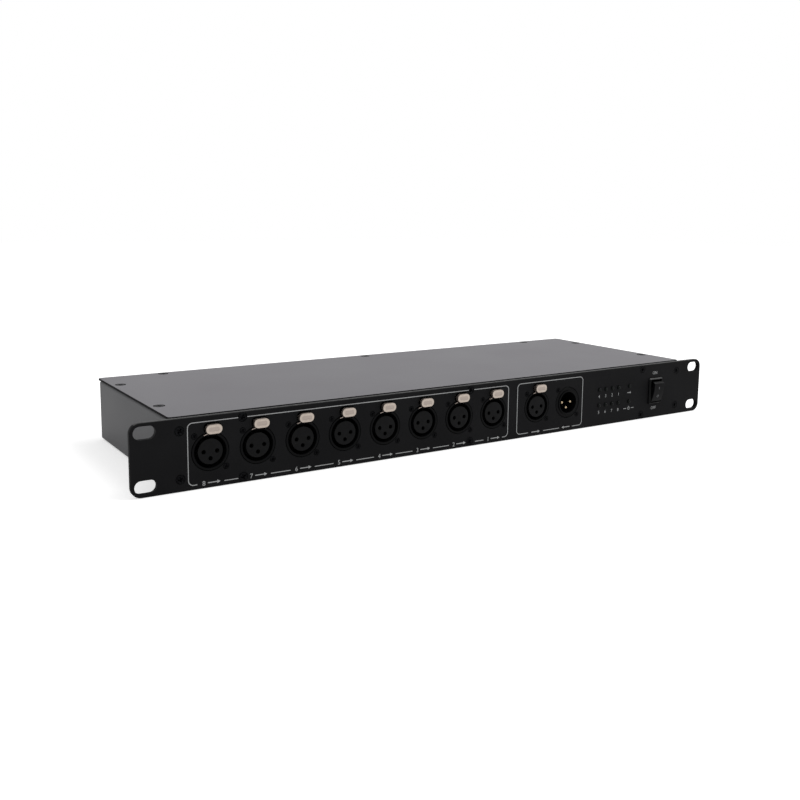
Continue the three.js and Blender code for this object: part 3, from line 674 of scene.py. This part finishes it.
lid_middle = (lid_low + lid_high) / 2
lid_outline = rounded(rectangle(*(lid_high - lid_low)[:2], *lid_middle[:2]), lid_corner)[0]
lid_holes = [circle(lid_head_radius + screw_gap, hole_sides, x, y) for x, y, _ in lid_screws]
lid_shells = [
    flat_plate([lid_outline, *lid_holes], lid_sheet_low, lid_high[2], lid_rounding, lying),
]
tab_middle_y = lid_low[1] + sheet / 2
lid_tab_height = lid_high[2] - sheet / 2 - lid_low[2]
lid_tab = rectangle(sheet, lid_tab_height, tab_middle_y, lid_low[2] + lid_tab_height / 2)
lid_tab_outline = rounded(lid_tab, lid_tab_corner)[0]
for x, _, _ in lid_tab_screws:
    low, high = x - lid_tab_width / 2, x + lid_tab_width / 2
    lid_shells.append(flat_plate([lid_tab_outline], low, high, sheet_rounding, facing_side))
lid_sheet = make_piece("lid_sheet", lid_shells, lid_coat_painted_light, ["lid"], sharp=30)
# Painted shade: the lid's edges get the near-black material.
coat_edges(lid_sheet, lid_rim_painted_shade, 2, lid_sheet_low)


# Screws: countersunk steel screws with a cross recess, seven in the lid and ten in the panel.
shank_radius = 1.45
screw_length = 7.5
recess = (3.2, 0.8, 1.1)  # length, width and depth
golden_turn = 2.4
ray_step = 7.5
head_edge = 0.08
head_land = 0.2

# Black oxide on steel, oiled: nearly black, and the oxide keeps it dark at flat angles too.
black_steel = mottled(
    "black_oxide_steel", 0.9, ("#0b0b0c", "#1d1d1f"), (0.35, 0.55), detail=3, span=(0.4, 0.8),
    **{"Metallic": 1, "Specular Tint": (0.7, 0.7, 0.7, 1)},
)


def cross_screw(head, shank, length, cross_length, cross_width, depth, spin):
    """A turned screw whose innermost rings follow a cross as long, wide and deep as given:
    along each ray it ends at the farther of its two bars' edges."""
    rays = np.radians(np.arange(0, 360, ray_step))
    across, up = np.abs(np.cos(rays)) + 1e-9, np.abs(np.sin(rays)) + 1e-9
    level_bar = np.minimum(cross_length / 2 / across, cross_width / 2 / up)
    upright_bar = np.minimum(cross_length / 2 / up, cross_width / 2 / across)
    cross = np.maximum(level_bar, upright_bar)
    rim = np.full(len(rays), head)
    radii = np.stack([
        0.7 * cross,
        0.9 * cross,
        cross + head_edge,
        rim - 0.3,
        rim - head_edge,
        rim,
        rim - head + shank,
        rim - head + shank,
    ])
    depths = [depth, depth / 2, 0.06, 0.03, 0.06, head_land, head - shank + head_land, length]
    turned = rays + spin
    circles = radii[:, :, None] * np.column_stack([np.cos(turned), np.sin(turned)])
    return skin(np.stack([at_depth(ring, d) for ring, d in zip(circles, depths)]))


def make_screws(name, head, places, first_turn, order=(0, 1, 2), signs=(1, 1, 1)):
    """Numbered screws at these places, each turned further than the one before it. The order
    and the signs say which of the screw's axes lie along X, Y and Z, and which way."""
    for i, place in enumerate(places):
        spin = golden_turn * i + first_turn
        points, corners, sizes = cross_screw(head, shank_radius, screw_length, *recess, spin)
        placed = points[:, list(order)] * signs + place
        node = f"{name}_{i + 1}"
        make_piece(f"{node}_steel", [(placed, corners, sizes)], black_steel, [node])


lid_screw_tops = [(x, y, lid_high[2]) for x, y, _ in lid_screws]
make_screws(
    "lid_screw", lid_head_radius, lid_screw_tops,
    first_turn=0, order=(0, 2, 1), signs=(1, 1, -1),
)


# Front panel: 3 mm aluminium plate with two slotted ears, cut for the sockets, lamps, switch
# and screws. The connectors are fixed from behind, so their black noses show through it.
panel_corner = 6.3
panel_rounding = 0.35
hole_rounding = 0.1
top_edge_reach = 1
head_radius = 2.75
slot_from_end = 8.75
slot_spacing = 31.75
slot_length = 13.2
slot_height = 8
nose_radius = 11.5
cutout_gap = 0.4
notch_size = (11, 7)
notch_corner = 3.3
cutout_steps = 66
tab_x = 1.5
notch_z = 14.1
fixing_radius = 1.7
fixing_places = [(-9.8, 10.2), (9.8, -10.2)]
lamp_radius = 1.5
lamp_gap = 0.15
switch_opening = np.array([14.3, 20.3])
switch_opening_corner = 0.3
panel_screw_count = 10
panel_low, panel_high = measured("front_panel")
output_names = [f"output_{number}" for number in range(8, 0, -1)]
latched_names = [*output_names, "through"]
socket_xs = {name: measured(f"{name}_shell").mean(0)[0] for name in [*latched_names, "input"]}
panel_screws = [measured(f"panel_screw_{i + 1}").mean(0) for i in range(panel_screw_count)]
switch_x = measured("switch_housing").mean(0)[0]
lamp_xs = [124.8, 131.8, 138.8, 145.8, 157.7]
lamp_zs = [6.4, -5.9]

# Fine-textured matt paint on aluminium: a black that mirrors little, with a soft grain of
# about half a millimetre.
panel_coat, tree, shader, place = new_material("panel_matt_paint", {"Specular IOR Level": 0.035})
grain = add_grain(tree, place, 0.6)
blotch = add_grain(tree, place, 40, 4)
set_colour(tree, shader, blotch, "#161617", "#1a1a1b")
set_roughness(tree, shader, grain, 0.5, 0.68)
set_relief(tree, shader, grain, 0.03)

# The same paint over the sawn top edge, which is smoother and shows as a pale line.
edge_coat = mottled("panel_edge_paint", 3, ("#0e0e0f", "#141415"), (0.45, 0.6), gloss=0.35)


def oblong(length, height, x, z):
    """A slot with half-round ends: a circle whose halves are moved apart along X."""
    round_end = circle(height / 2, hole_sides)
    spread = np.sign(np.round(round_end[:, :1], 6)) * [(length - height) / 2, 0]
    return round_end + spread + [x, z]


def socket_cutout():
    """A round hole with the press tab's notch above it: the notch's outline where it lies
    outside the circle, then the circle's arc round to its start."""
    corners = np.roll(rectangle(*notch_size, tab_x, notch_z), -1, 0)
    notch = rounded(corners, notch_corner, steps=6)[0]
    radius = nose_radius + cutout_gap
    outside = notch[np.hypot(*notch.T) > radius]
    first, last = np.arctan2(outside[[0, -1], 1], outside[[0, -1], 0])
    angles = np.linspace(last, first + 2 * np.pi, cutout_steps)[1:-1]
    arc = radius * np.column_stack([np.cos(angles), np.sin(angles)])
    return np.concatenate([outside, arc])


panel_outline = rounded(rectangle(*(panel_high - panel_low)[[0, 2]]), panel_corner, steps=8)[0]
panel_holes = []
for side in (-1, 1):
    for level_side in (-1, 1):
        place_x = side * (panel_high[0] - slot_from_end)
        panel_holes.append(oblong(slot_length, slot_height, place_x, level_side * slot_spacing / 2))
for name, x in socket_xs.items():
    round_hole = circle(nose_radius + cutout_gap, fine_sides)
    panel_holes.append((round_hole if name == "input" else socket_cutout()) + [x, 0])
    for dx, dz in fixing_places:
        panel_holes.append(circle(fixing_radius + screw_gap, small_sides, x + dx, dz))
for x in lamp_xs:
    panel_holes += [circle(lamp_radius + lamp_gap, small_sides, x, z) for z in lamp_zs]
switch_hole = rounded(rectangle(*switch_opening, switch_x, 0), switch_opening_corner, steps=2)[0]
panel_holes.append(switch_hole)
panel_holes += [circle(head_radius + screw_gap, hole_sides, x, z) for x, _, z in panel_screws]
panel_plate = flat_plate(
    [panel_outline, *panel_holes], 0, panel_high[1], panel_rounding, hole_rounding=hole_rounding,
)
panel = make_piece(
    "panel_plate", [panel_plate], panel_coat, ["front_panel"], sharp=30,
)
coat_edges(panel, edge_coat, 1, panel_high[2] - top_edge_reach)


# Latching sockets: nine moulded housings with a flange behind the panel. Each has a thin nose
# ring in the panel's hole, open at the top for the latch, and an insert with three contacts.
flange_half = 13
flange_start = 3.25
flange_end = 5.45
barrel_half = 12.2
barrel_end = 22
bore_radius = 10.05
collar_radius = 10.4
bore_end = 14
nose_start = -0.1
ring_angles = (113, 424)
ring_steps = 60
insert_radius = 7.8
insert_start = -0.05
insert_end = 15.5
insert_rounding = 0.25
contact_circle = 4.2
contact_radius = 1.3
contact_start = 7
contact_end = 9.2
latch_housing_size = (9.6, 9.1)
latch_housing_z = 13.05
latch_housing_end = 18
channel_size = (6.8, 4.4)
channel_z = 13.2
bore_rings = (7, 11.8)
fixing_shank = 1.2
fixing_length = 5
fixing_recess = (2.1, 0.55, 0.8)  # length, width and depth
fixing_turn = 0.4
contact_wall = 0.3
press_fit = 0.02

# Nylon housing, moulded with a fine spark-eroded texture: dark grey-black with a soft gloss.
socket_nylon = mottled(
    "socket_nylon", 6, ("#060607", "#0a0a0b"), (0.4, 0.52),
    gloss=0.05, detail=3, relief=(0.5, 0.012),
)

# Smooth polyester insert: blacker and glossier than the housing round it.
insert_resin = mottled(
    "insert_polyester", 3, ("#0b0b0c", "#101011"), (0.26, 0.38), gloss=0.065, detail=3,
)

# Gold flash on the contacts: pale warm metal, mirror-like but for fine turning marks, and
# painted darker and greyer than gold: painted shade for the dim bores and cavity.
contact_gold_painted_shade = mottled("contact_gold_painted_shade", 0.3, ("#9a8870", "#c0ab8c"), (0.16, 0.28), Metallic=1)


def turned(profile, sides, x=0, z=0):
    """A shape turned about an axis along Y, from pairs of radius and depth."""
    rays = circle(1, sides)
    return np.stack([at_depth(radius * rays + [x, z], depth) for radius, depth in profile])


def arc_bar(section, first, last, steps):
    """A bar bent round the Y axis: each of its section's pairs of radius and depth is turned
    through the angles from first to last, in degrees."""
    angles = np.radians(np.linspace(first, last, steps))[:, None]
    radius, depth = np.transpose(section)
    depths = np.broadcast_to(depth, (steps, len(depth)))
    return skin(np.stack([radius * np.cos(angles), depths, radius * np.sin(angles)], -1))


def square_rays(sides):
    """Points of a unit square at the even angles of a circle: each ray is stretched until
    the longer of its two parts is one."""
    rays = circle(1, sides)
    return rays / np.abs(rays).max(1, keepdims=True)


def housing_rows(bore, end, mouth):
    """Rows of a housing from the floor of its bore out over its nose, flange and barrel."""
    box_rays = square_rays(fine_sides)
    outside = [
        (flange_half, flange_start),
        (flange_half, flange_end),
        (barrel_half, flange_end),
        (barrel_half, barrel_end),
    ]
    return np.concatenate([
        turned([(bore, end), *mouth], fine_sides),
        np.stack([at_depth(half * box_rays, depth) for half, depth in outside]),
    ])


socket_rows = housing_rows(bore_radius, bore_end, [
    (bore_radius, bore_rings[1]),
    (bore_radius, bore_rings[0]),
    (bore_radius, nose_start + 0.15),
    (bore_radius + 0.1, nose_start),
    (collar_radius, nose_start),
    (collar_radius, flange_start),
])
nose_section = [
    (collar_radius, nose_start),
    (nose_radius - 0.3, nose_start),
    (nose_radius - 0.08, nose_start + 0.08),
    (nose_radius, nose_start + 0.3),
    (nose_radius, flange_start),
    (collar_radius, flange_start),
]
housing_outer = rectangle(*latch_housing_size, tab_x, latch_housing_z)
housing_inner = rectangle(*channel_size, tab_x, channel_z)
latch_housing_start = flange_start + 0.1
latch_housing = skin(np.stack([
    at_depth(housing_outer, latch_housing_start),
    at_depth(housing_outer, latch_housing_end),
    at_depth(housing_inner, latch_housing_end),
    at_depth(housing_inner, latch_housing_start),
]), "joined")
socket_shells = [skin(socket_rows), arc_bar(nose_section, *ring_angles, ring_steps), latch_housing]

contact_places = [(-contact_circle, 0), (contact_circle, 0), (0, -contact_circle)]
contact_holes = [circle(contact_radius, small_sides, x, z) for x, z in contact_places]
insert_face = [circle(insert_radius, fine_sides), *contact_holes]
insert_body_radius = insert_radius - press_fit
insert_body = [(insert_body_radius, contact_end - 0.2), (insert_body_radius, insert_end)]
insert_shells = [
    flat_plate(insert_face, insert_start, contact_end, insert_rounding),
    skin(turned(insert_body, fine_sides)),
]
tube_radius = contact_radius - press_fit
tube_end = contact_end - 0.1
contact_tube = [
    (tube_radius, contact_start),
    (tube_radius, tube_end),
    (tube_radius - contact_wall, tube_end),
    (tube_radius - contact_wall, contact_start),
]
contact_shells = [
    skin(turned(contact_tube, small_sides, x, z), "joined") for x, z in contact_places
]
fixing_shells = []
for i, (x, z) in enumerate(fixing_places):
    spin = golden_turn * i + fixing_turn
    points, corners, sizes = cross_screw(
        fixing_radius, fixing_shank, fixing_length, *fixing_recess, spin,
    )
    fixing_shells.append((points + [x, 0, z], corners, sizes))


def moved(shells, x):
    """The same shells, moved along X."""
    return [(points + [x, 0, 0], corners, sizes) for points, corners, sizes in shells]


for name in latched_names:
    x = socket_xs[name]
    shell, insert = [f"{name}_shell"], [f"{name}_insert"]
    make_piece(f"{name}_housing", moved(socket_shells, x), socket_nylon, shell)
    make_piece(f"{name}_core", moved(insert_shells, x), insert_resin, insert)
    make_piece(f"{name}_contacts", moved(contact_shells, x), contact_gold_painted_shade, insert)
    make_piece(f"{name}_fixings", moved(fixing_shells, x), black_steel, shell)


# Latches: a cast press tab on a stem, whose hook drops into the bore and holds the plug. The
# end of its spring clip shows on the nose as a short bright strip, left of the tab.
tab_size = np.array([10.2, 5.8])
tab_corner = 2.8
tab_z = 13.9
tab_proud = 3.3
tab_back = -0.7
tab_dish = 0.2
neck_inset = 0.9
neck_corner = 2
neck_end = 1
stem_corner = 0.4
stem_size = (6, 3.6)
stem_z = 13.2
stem_end = 10.5
hook_width = 4
hook_start = 7.4
hook_end = 9.4
hook_tip = 8.4
clip_angles = (99, 112)
clip_steps = 8
clip_section = [(10.6, 0.6), (10.6, -0.45), (10.7, -0.6), (11, -0.6), (11.1, -0.45), (11.1, 0.6)]

# Satin nickel on a zinc casting: warm silver with tumbling marks of about a millimetre. Its colour
# is brightest on the tab's flat rim and painted darker deeper back, in the dish and on the sides:
# painted shade.
satin_nickel, tree, shader, place = new_material("satin_nickel", {"Metallic": 1})
tumble = add_grain(tree, place, 1.2, 4)
bright = set_colour(tree, shader, tumble, "#a3988e", "#b3a89e")
tab_front = face_middle[1] - tab_proud / 1000
dish_floor = tab_front + tab_dish / 1000
depth = add_node(tree, "ShaderNodeSeparateXYZ", {"Vector": place}).outputs["Y"]
# Painted shade: darker from the rim's face back into the dish, the sides and the clip.
rim_share = ranged(tree, depth, tab_front, dish_floor, 1, 0)
painted_shade_colour = blended(tree, rim_share, linear("#9c9189"), bright)
tree.links.new(painted_shade_colour, shader.inputs["Base Color"])
set_roughness(tree, shader, tumble, 0.34, 0.48)
set_relief(tree, shader, tumble, 0.02)

tab_path = rounded(rectangle(*tab_size, tab_x, tab_z), tab_corner, steps=8)
tab_shell = skin(carried(tab_path, [
    (-1.2, tab_back),
    (-0.25, tab_back),
    (0, tab_back - 0.25),
    (0, 0.35 - tab_proud),
    (-0.12, 0.1 - tab_proud),
    (-0.35, -tab_proud),
    (-1.5, -tab_proud),
    (-1.85, tab_dish - tab_proud),
    (-2.3, tab_dish + 0.05 - tab_proud),
]))
neck_path = rounded(rectangle(*(tab_size - 2 * neck_inset), tab_x, tab_z), neck_corner)
neck_shell = skin(carried(neck_path, [(0, tab_back - 0.1), (0, neck_end - 0.1), (-0.1, neck_end)]))
stem_path = rounded(rectangle(*stem_size, tab_x, stem_z), stem_corner)
stem_shell = skin(carried(stem_path, [(0, neck_end - 0.2), (0, stem_end - 0.3), (-0.3, stem_end)]))
hook_height = stem_z - hook_tip
hook = rectangle(hook_width, hook_height, tab_x, hook_tip + hook_height / 2)
hook_path = rounded(hook, stem_corner)
hook_shell = skin(carried(hook_path, [(-0.2, hook_start), (0, hook_start + 0.3), (0, hook_end)]))
latch_shells = [tab_shell, neck_shell, stem_shell, hook_shell]
clip_shell = arc_bar(clip_section, *clip_angles, clip_steps)

for name in latched_names:
    x = socket_xs[name]
    latch, shell = [f"{name}_latch"], [f"{name}_shell"]
    tab = moved(latch_shells, x)
    make_piece(f"{name}_tab", tab, satin_nickel, latch, f"{name}_button")
    make_piece(f"{name}_clip", moved([clip_shell], x), satin_nickel, shell)


# Input: the same housing round an open cavity with a raised rim, and a plate at its bottom
# that holds three gold pins. The cable's plug slides over them.
rim_radius = 9.2
rim_front = -0.8
cavity_radius = 8.1
pin_plate_start = 13.5
pin_plate_end = 17
pin_plate_rounding = 0.2
pin_gap = 0.1
pin_radius = 1.2
pin_start = 0.8
dome_rings = 6

input_x = socket_xs["input"]
input_rows = housing_rows(cavity_radius, pin_plate_end + 0.25, [
    (cavity_radius, rim_front + 0.15),
    (cavity_radius + 0.12, rim_front),
    (rim_radius - 0.3, rim_front),
    (rim_radius - 0.08, rim_front + 0.1),
    (rim_radius, rim_front + 0.35),
    (rim_radius, nose_start),
    (nose_radius - 0.3, nose_start),
    (nose_radius, nose_start + 0.3),
    (nose_radius, flange_start),
])
input_shell = moved([skin(input_rows)], input_x)
input_screws = moved(fixing_shells, input_x)
make_piece("input_housing", input_shell, socket_nylon, ["input_shell"])
make_piece("input_fixings", input_screws, black_steel, ["input_shell"])
pin_holes = [circle(pin_radius + pin_gap, small_sides, x, z) for x, z in contact_places]
pin_plate_face = [circle(cavity_radius - pin_gap, fine_sides), *pin_holes]
pin_plate = flat_plate(pin_plate_face, pin_plate_start, pin_plate_end, pin_plate_rounding)
pin_plate_shells = moved([pin_plate], input_x)
make_piece("input_plate", pin_plate_shells, insert_resin, ["input_pin_plate"])


def dome(radius, front):
    """A ball's front half as pairs of radius and depth, from its tip to its full width."""
    angles = np.radians(np.linspace(0, 90, dome_rings))
    return np.column_stack([radius * np.sin(angles), front + radius * (1 - np.cos(angles))])


pin_profile = [*dome(pin_radius, pin_start), (pin_radius, pin_plate_end)]
for i, (x, z) in enumerate(contact_places):
    pin = moved([skin(turned(pin_profile, round_sides, x, z))], input_x)
    make_piece(f"input_contact_{i + 1}", pin, contact_gold_painted_shade, [f"input_pin_{i + 1}"])


# Lamps: ten 3 mm light-emitting diodes on an upright board behind the panel, two to each of
# five columns. None is lit, so they are dark smoky domes.
lamp_proud = 1.6
lamp_sink = 0.1
lamp_board_start = 7
board_thickness = 1.6
board_corner = 0.8
board_low, board_high = measured("lamp_board")

# Tinted epoxy, cast clear and glossy: nearly black where unlit, with a green-grey cast.
smoked_epoxy = mottled("smoked_epoxy", 2.5, ("#0b0d0c", "#131615"), (0.2, 0.3), gloss=0.08)

lamp_profile = [*dome(lamp_radius, -lamp_proud), (lamp_radius, lamp_board_start + lamp_sink)]
lamp_shells = [skin(turned(lamp_profile, round_sides, x, z)) for x in lamp_xs for z in lamp_zs]
make_piece("lamp_domes", lamp_shells, smoked_epoxy, ["lamp_board"])
board_size = (board_high - board_low)[[0, 2]]
board_middle = (board_low + board_high)[[0, 2]] / 2
board_outline = rounded(rectangle(*board_size, *board_middle), board_corner)[0]
board_end = lamp_board_start + board_thickness
lamp_board = flat_plate([board_outline], lamp_board_start, board_end, sheet_rounding)
make_piece("lamp_laminate", [lamp_board], laminate, ["lamp_board"])


# Switch: a rocker that turns on two pins in a snap-in housing. It stands in its off position,
# with its upper half proud.
bezel_size = np.array([15, 21])
bezel_front = -2
bezel_bevel = 1
bezel_corner = 1
cavity_corner = 0.4
cavity_size = np.array([11.8, 18.8])
cavity_end = 7
switch_body = np.array([13.8, 19.8])
switch_end = 16
terminal = (4.8, 0.8)
terminal_corner = 0.2
terminal_end = 22.5
rocker_width = 11
rocker_radius = 9
face_half = 7.7
face_crown = 5.5
skirt = 2.5
hub_radius = 2.2
pivot_depth = 1
rocker_tilt = np.radians(12)
rocker_rounding = 0.3
rocker_arc_points = 6
rocker_hub_points = 12
rocker_face_points = 24
pivot_pin_radius = 1.1
pivot_pin_reach = 0.9
pivot_pin_sides = 16

# Polycarbonate rocker, moulded glossy: its even black mirrors the room in soft streaks.
rocker_plastic = mottled(
    "rocker_polycarbonate", 8, ("#08080a", "#0d0d0e"), (0.24, 0.36),
    gloss=0.045, detail=3, relief=(0.8, 0.006),
)

# Nylon bezel, moulded smoother than the sockets: a deep black.
bezel_nylon = mottled(
    "bezel_nylon", 6, ("#040405", "#070708"), (0.2, 0.26), gloss=0.07, detail=3,
)

# The same nylon made lighter and glossier on its upper bevel, so that it mirrors the lamp in a
# pale line: a painted highlight.
upper_bevel_painted_highlight = mottled(
    "upper_bevel_painted_highlight", 6, ("#0c0c0d", "#121213"), (0.24, 0.34), gloss=0.45, detail=3,
)

bezel_path = rounded(rectangle(*bezel_size), bezel_corner, steps=6)
cavity_path = rounded(rectangle(*cavity_size), cavity_corner, steps=6)
cavity_outline = rounded(rectangle(*cavity_size), cavity_corner, steps=3)[0]
body_outline = rounded(rectangle(*switch_body), cavity_corner, steps=3)[0]
bezel_rows = np.concatenate([
    carried(cavity_path, [(0, -0.25), (0, bezel_front + 0.2), (0.2, bezel_front)]),
    carried(bezel_path, [
        (-bezel_bevel - 0.15, bezel_front),
        (-bezel_bevel, bezel_front + 0.05),
        (-0.1, bezel_front + 0.9),
        (0, bezel_front + 1.1),
        (0, -0.25),
    ]),
])
body_start = bezel_front + 0.8
switch_cup = skin(np.stack([
    at_depth(cavity_outline, cavity_end),
    at_depth(cavity_outline, body_start),
    at_depth(body_outline, body_start),
    at_depth(body_outline, switch_end),
]))
switch_shells = moved([skin(bezel_rows, "joined"), switch_cup], switch_x)
switch = ["switch_housing"]
bezel = make_piece("switch_bezel", switch_shells, bezel_nylon, switch)
# Painted highlight on the bezel's upper bevel.
coat_edges(bezel, upper_bevel_painted_highlight, 1, bezel_size[1] / 2 - bezel_bevel)
terminal_shells = []
for side in (-1, 1):
    outline = rectangle(*terminal, switch_x, side * switch_body[1] / 4)
    profile = [(0, switch_end - 0.5), (0, terminal_end)]
    terminal_shells.append(skin(carried(rounded(outline, terminal_corner), profile)))
make_piece("switch_terminals", terminal_shells, plated_brass, switch)


def face_depth(z):
    """Depth of the rocker's face from its pivot at a height: a parabola between its ends."""
    corner = np.sqrt(rocker_radius ** 2 - face_half ** 2)
    return (face_crown - corner) * ((z / face_half) ** 2 - 1) - corner


def rocker_outline():
    """The rocker's side view as depth and height: the crowned face, arcs round the pivot at
    its ends, the skirt and the hub."""
    corner = np.arccos(face_half / rocker_radius)
    skirt_angle = np.arcsin(skirt / rocker_radius)
    up = np.pi / 2 + np.linspace(skirt_angle, corner, rocker_arc_points)
    hub = np.linspace(-np.pi / 2, np.pi / 2, rocker_hub_points)
    face_z = np.linspace(face_half, -face_half, rocker_face_points)[1:-1]
    return np.concatenate([
        rocker_radius * np.column_stack([np.cos(up), np.sin(up)]),
        np.column_stack([face_depth(face_z), face_z]),
        rocker_radius * np.column_stack([np.cos(up), -np.sin(up)])[::-1],
        [[-skirt, -hub_radius]],
        hub_radius * np.column_stack([np.cos(hub), np.sin(hub)]),
        [[-skirt, hub_radius]],
    ])


def tilted(shell):
    """A shell about the pivot, turned about X by the tilt and put in its place."""
    points, corners, sizes = shell
    x, y, z = points.T
    turned_y = y * np.cos(rocker_tilt) - z * np.sin(rocker_tilt)
    turned_z = y * np.sin(rocker_tilt) + z * np.cos(rocker_tilt)
    return np.column_stack([x + switch_x, turned_y + pivot_depth, turned_z]), corners, sizes


half = rocker_width / 2
rocker_block = flat_plate([rocker_outline()], -half, half, rocker_rounding, facing_side)
pin_half = half + pivot_pin_reach
pin_outline = circle(pivot_pin_radius, pivot_pin_sides)
pivot_pin = flat_plate([pin_outline], -pin_half, pin_half, sheet_rounding, facing_side)
key = [tilted(rocker_block), tilted(pivot_pin)]
make_piece("rocker_key", key, rocker_plastic, ["switch_rocker"], "rocker")


# Panel screws: the same countersunk steel screws, a pair near each end and three pairs
# between. Three of them hold the lid's tabs, and the others the tray's lips.
panel_screw_tops = [(x, 0, z) for x, _, z in panel_screws]
make_screws("panel_screw", head_radius, panel_screw_tops, first_turn=1)


# Print: two frames round the sockets, with numbers and arrows in their gaps, numbers at the
# lamps, and words at the switch. It is screened on the paint in one pale ink.
ink_depth = 0.05
ink_sink = 0.02
line_width = 0.5
line_corner = 3
left_frame = (-207.2, 33.7, 18.4, -19.1)  # left, right, top and bottom
right_frame = (42.2, 106.8, 18.5, -19.0)
upper_screw_gaps = [(-175.5, -169.5), (-2.5, 2.5)]
lower_screw_gaps = (-176, 4)
label_half = 8.5
right_gaps = [(53.2, 68), (84, 97)]
right_arrow_xs = (60.5, 90.5)
arrow = np.array([[-4, -0.3], [2, -0.3], [2, -1.1], [4, 0], [2, 1.1], [2, 0.3], [-4, 0.3]])
status_arrow_scale = (0.5, 0.9)
label_z = -18.9
digit_x = -4.4
arrow_x = 2
digit_height = 2.9
lamp_digit_height = 2.3
upper_lamp_z = 1.1
lower_lamp_z = -11.4
ring_z = -11.5
ring_radii = (1.25, 0.9)
ring_bar = (0.4, 1.6)
ring_bar_rise = 1
dash = (3, 0.45)
dash_x = 4.2
word_height = 2.4
word_x = -0.5
word_zs = (14.6, -14.2)

# Screen ink: a matt warm grey-white, a little thin where the mesh lifted.
screen_ink = mottled(
    "screen_ink", 0.8, ("#9b9c9d", "#acadad"), (0.55, 0.75), gloss=0.3, detail=3,
)


def frame_line(corners):
    """A printed line: an open path with rounded corners, given its width and thickness."""
    points, normals = rounded(corners, line_corner, steps=6, closed=False)
    sides = [(0.5, -ink_depth), (0.5, ink_sink), (-0.5, ink_sink), (-0.5, -ink_depth)]
    rows = np.stack([at_depth(points + line_width * s * normals, d) for s, d in sides], 1)
    return skin(rows)


def printed(outlines, x, z):
    """Flat ink in these outlines about a place."""
    return flat_plate([outline + [x, z] for outline in outlines], -ink_depth, ink_sink)


def lettered(text, height, x, z):
    """Flat ink lettering of a given height, centred on a place."""
    curve = bpy.data.curves.new("letters", "FONT")
    curve.body = text
    curve.extrude = (ink_depth + ink_sink) / 2
    curve.resolution_u = 3
    points, corners, sizes = meshed(curve)
    low, high = points.min(0), points.max(0)
    scale = height / (high[1] - low[1])
    points = (points - (low + high) / 2) * [scale, scale, 1]
    return points[:, [0, 2, 1]] + [x, (ink_sink - ink_depth) / 2, z], corners, sizes


left, right, top, bottom = left_frame
outputs = [socket_xs[name] for name in output_names]
gaps = [(x - label_half, x + label_half) for x in outputs]
ink = [
    frame_line([[gaps[0][0], bottom], [left, bottom], [left, top], [upper_screw_gaps[0][0], top]]),
    frame_line([[upper_screw_gaps[0][1], top], [upper_screw_gaps[1][0], top]]),
    frame_line([
        [upper_screw_gaps[1][1], top], [right, top], [right, bottom], [gaps[-1][1], bottom],
    ]),
    frame_line([[gaps[0][1], bottom], [lower_screw_gaps[0], bottom]]),
    frame_line([[lower_screw_gaps[1], bottom], [gaps[-1][0], bottom]]),
]
for gap, next_gap in zip(gaps[1:-2], gaps[2:-1]):
    ink.append(frame_line([[gap[1], bottom], [next_gap[0], bottom]]))
left, right, top, bottom = right_frame
(start, after), (before, end) = right_gaps
ink += [
    frame_line([
        [start, bottom], [left, bottom], [left, top],
        [right, top], [right, bottom], [end, bottom],
    ]),
    frame_line([[after, bottom], [before, bottom]]),
]
for number, x in zip(range(8, 0, -1), outputs):
    ink.append(lettered(str(number), digit_height, x + digit_x, label_z))
    ink.append(printed([arrow], x + arrow_x, label_z))
for x, direction in zip(right_arrow_xs, (1, -1)):
    ink.append(printed([arrow * [direction, 1]], x, label_z))
for numbers, z in (((4, 3, 2, 1), upper_lamp_z), ((5, 6, 7, 8), lower_lamp_z)):
    for number, x in zip(numbers, lamp_xs):
        ink.append(lettered(str(number), lamp_digit_height, x, z))
status_x = lamp_xs[-1]
ink += [
    printed([arrow * status_arrow_scale], status_x, upper_lamp_z),
    printed([circle(radius, round_sides) for radius in ring_radii], status_x, ring_z),
    printed([rectangle(*ring_bar, 0, ring_bar_rise)], status_x, ring_z),
]
ink += [printed([rectangle(*dash)], status_x + x, ring_z) for x in (-dash_x, dash_x)]
for word, z in zip(("ON", "OFF"), word_zs):
    ink.append(lettered(word, word_height, switch_x + word_x, z))
make_piece("panel_print", ink, screen_ink, ["front_panel"])

# The rocker's own marks, a bar and a ring, are printed on its face in a dimmer grey.
mark_bar = (0.5, 2)
mark_bar_corner = 0.1
mark_bar_z = 3.9
mark_ring_radii = (1.1, 0.7)
mark_ring_z = -3
mark_ink = mottled(
    "rocker_mark_ink", 0.6, ("#545557", "#67686a"), (0.4, 0.6), gloss=0.3, detail=3,
)


def on_face(shell):
    """A flat mark laid on the rocker's crowned face, by the face's depth at each height."""
    points, corners, sizes = shell
    x, y, z = points.T
    return np.column_stack([x, y + face_depth(z), z]), corners, sizes


marks = [
    printed([rounded(rectangle(*mark_bar), mark_bar_corner)[0]], 0, mark_bar_z),
    printed([circle(radius, round_sides) for radius in mark_ring_radii], 0, mark_ring_z),
]
mark_shells = [tilted(on_face(mark)) for mark in marks]
make_piece("rocker_marks", mark_shells, mark_ink, (), "rocker")
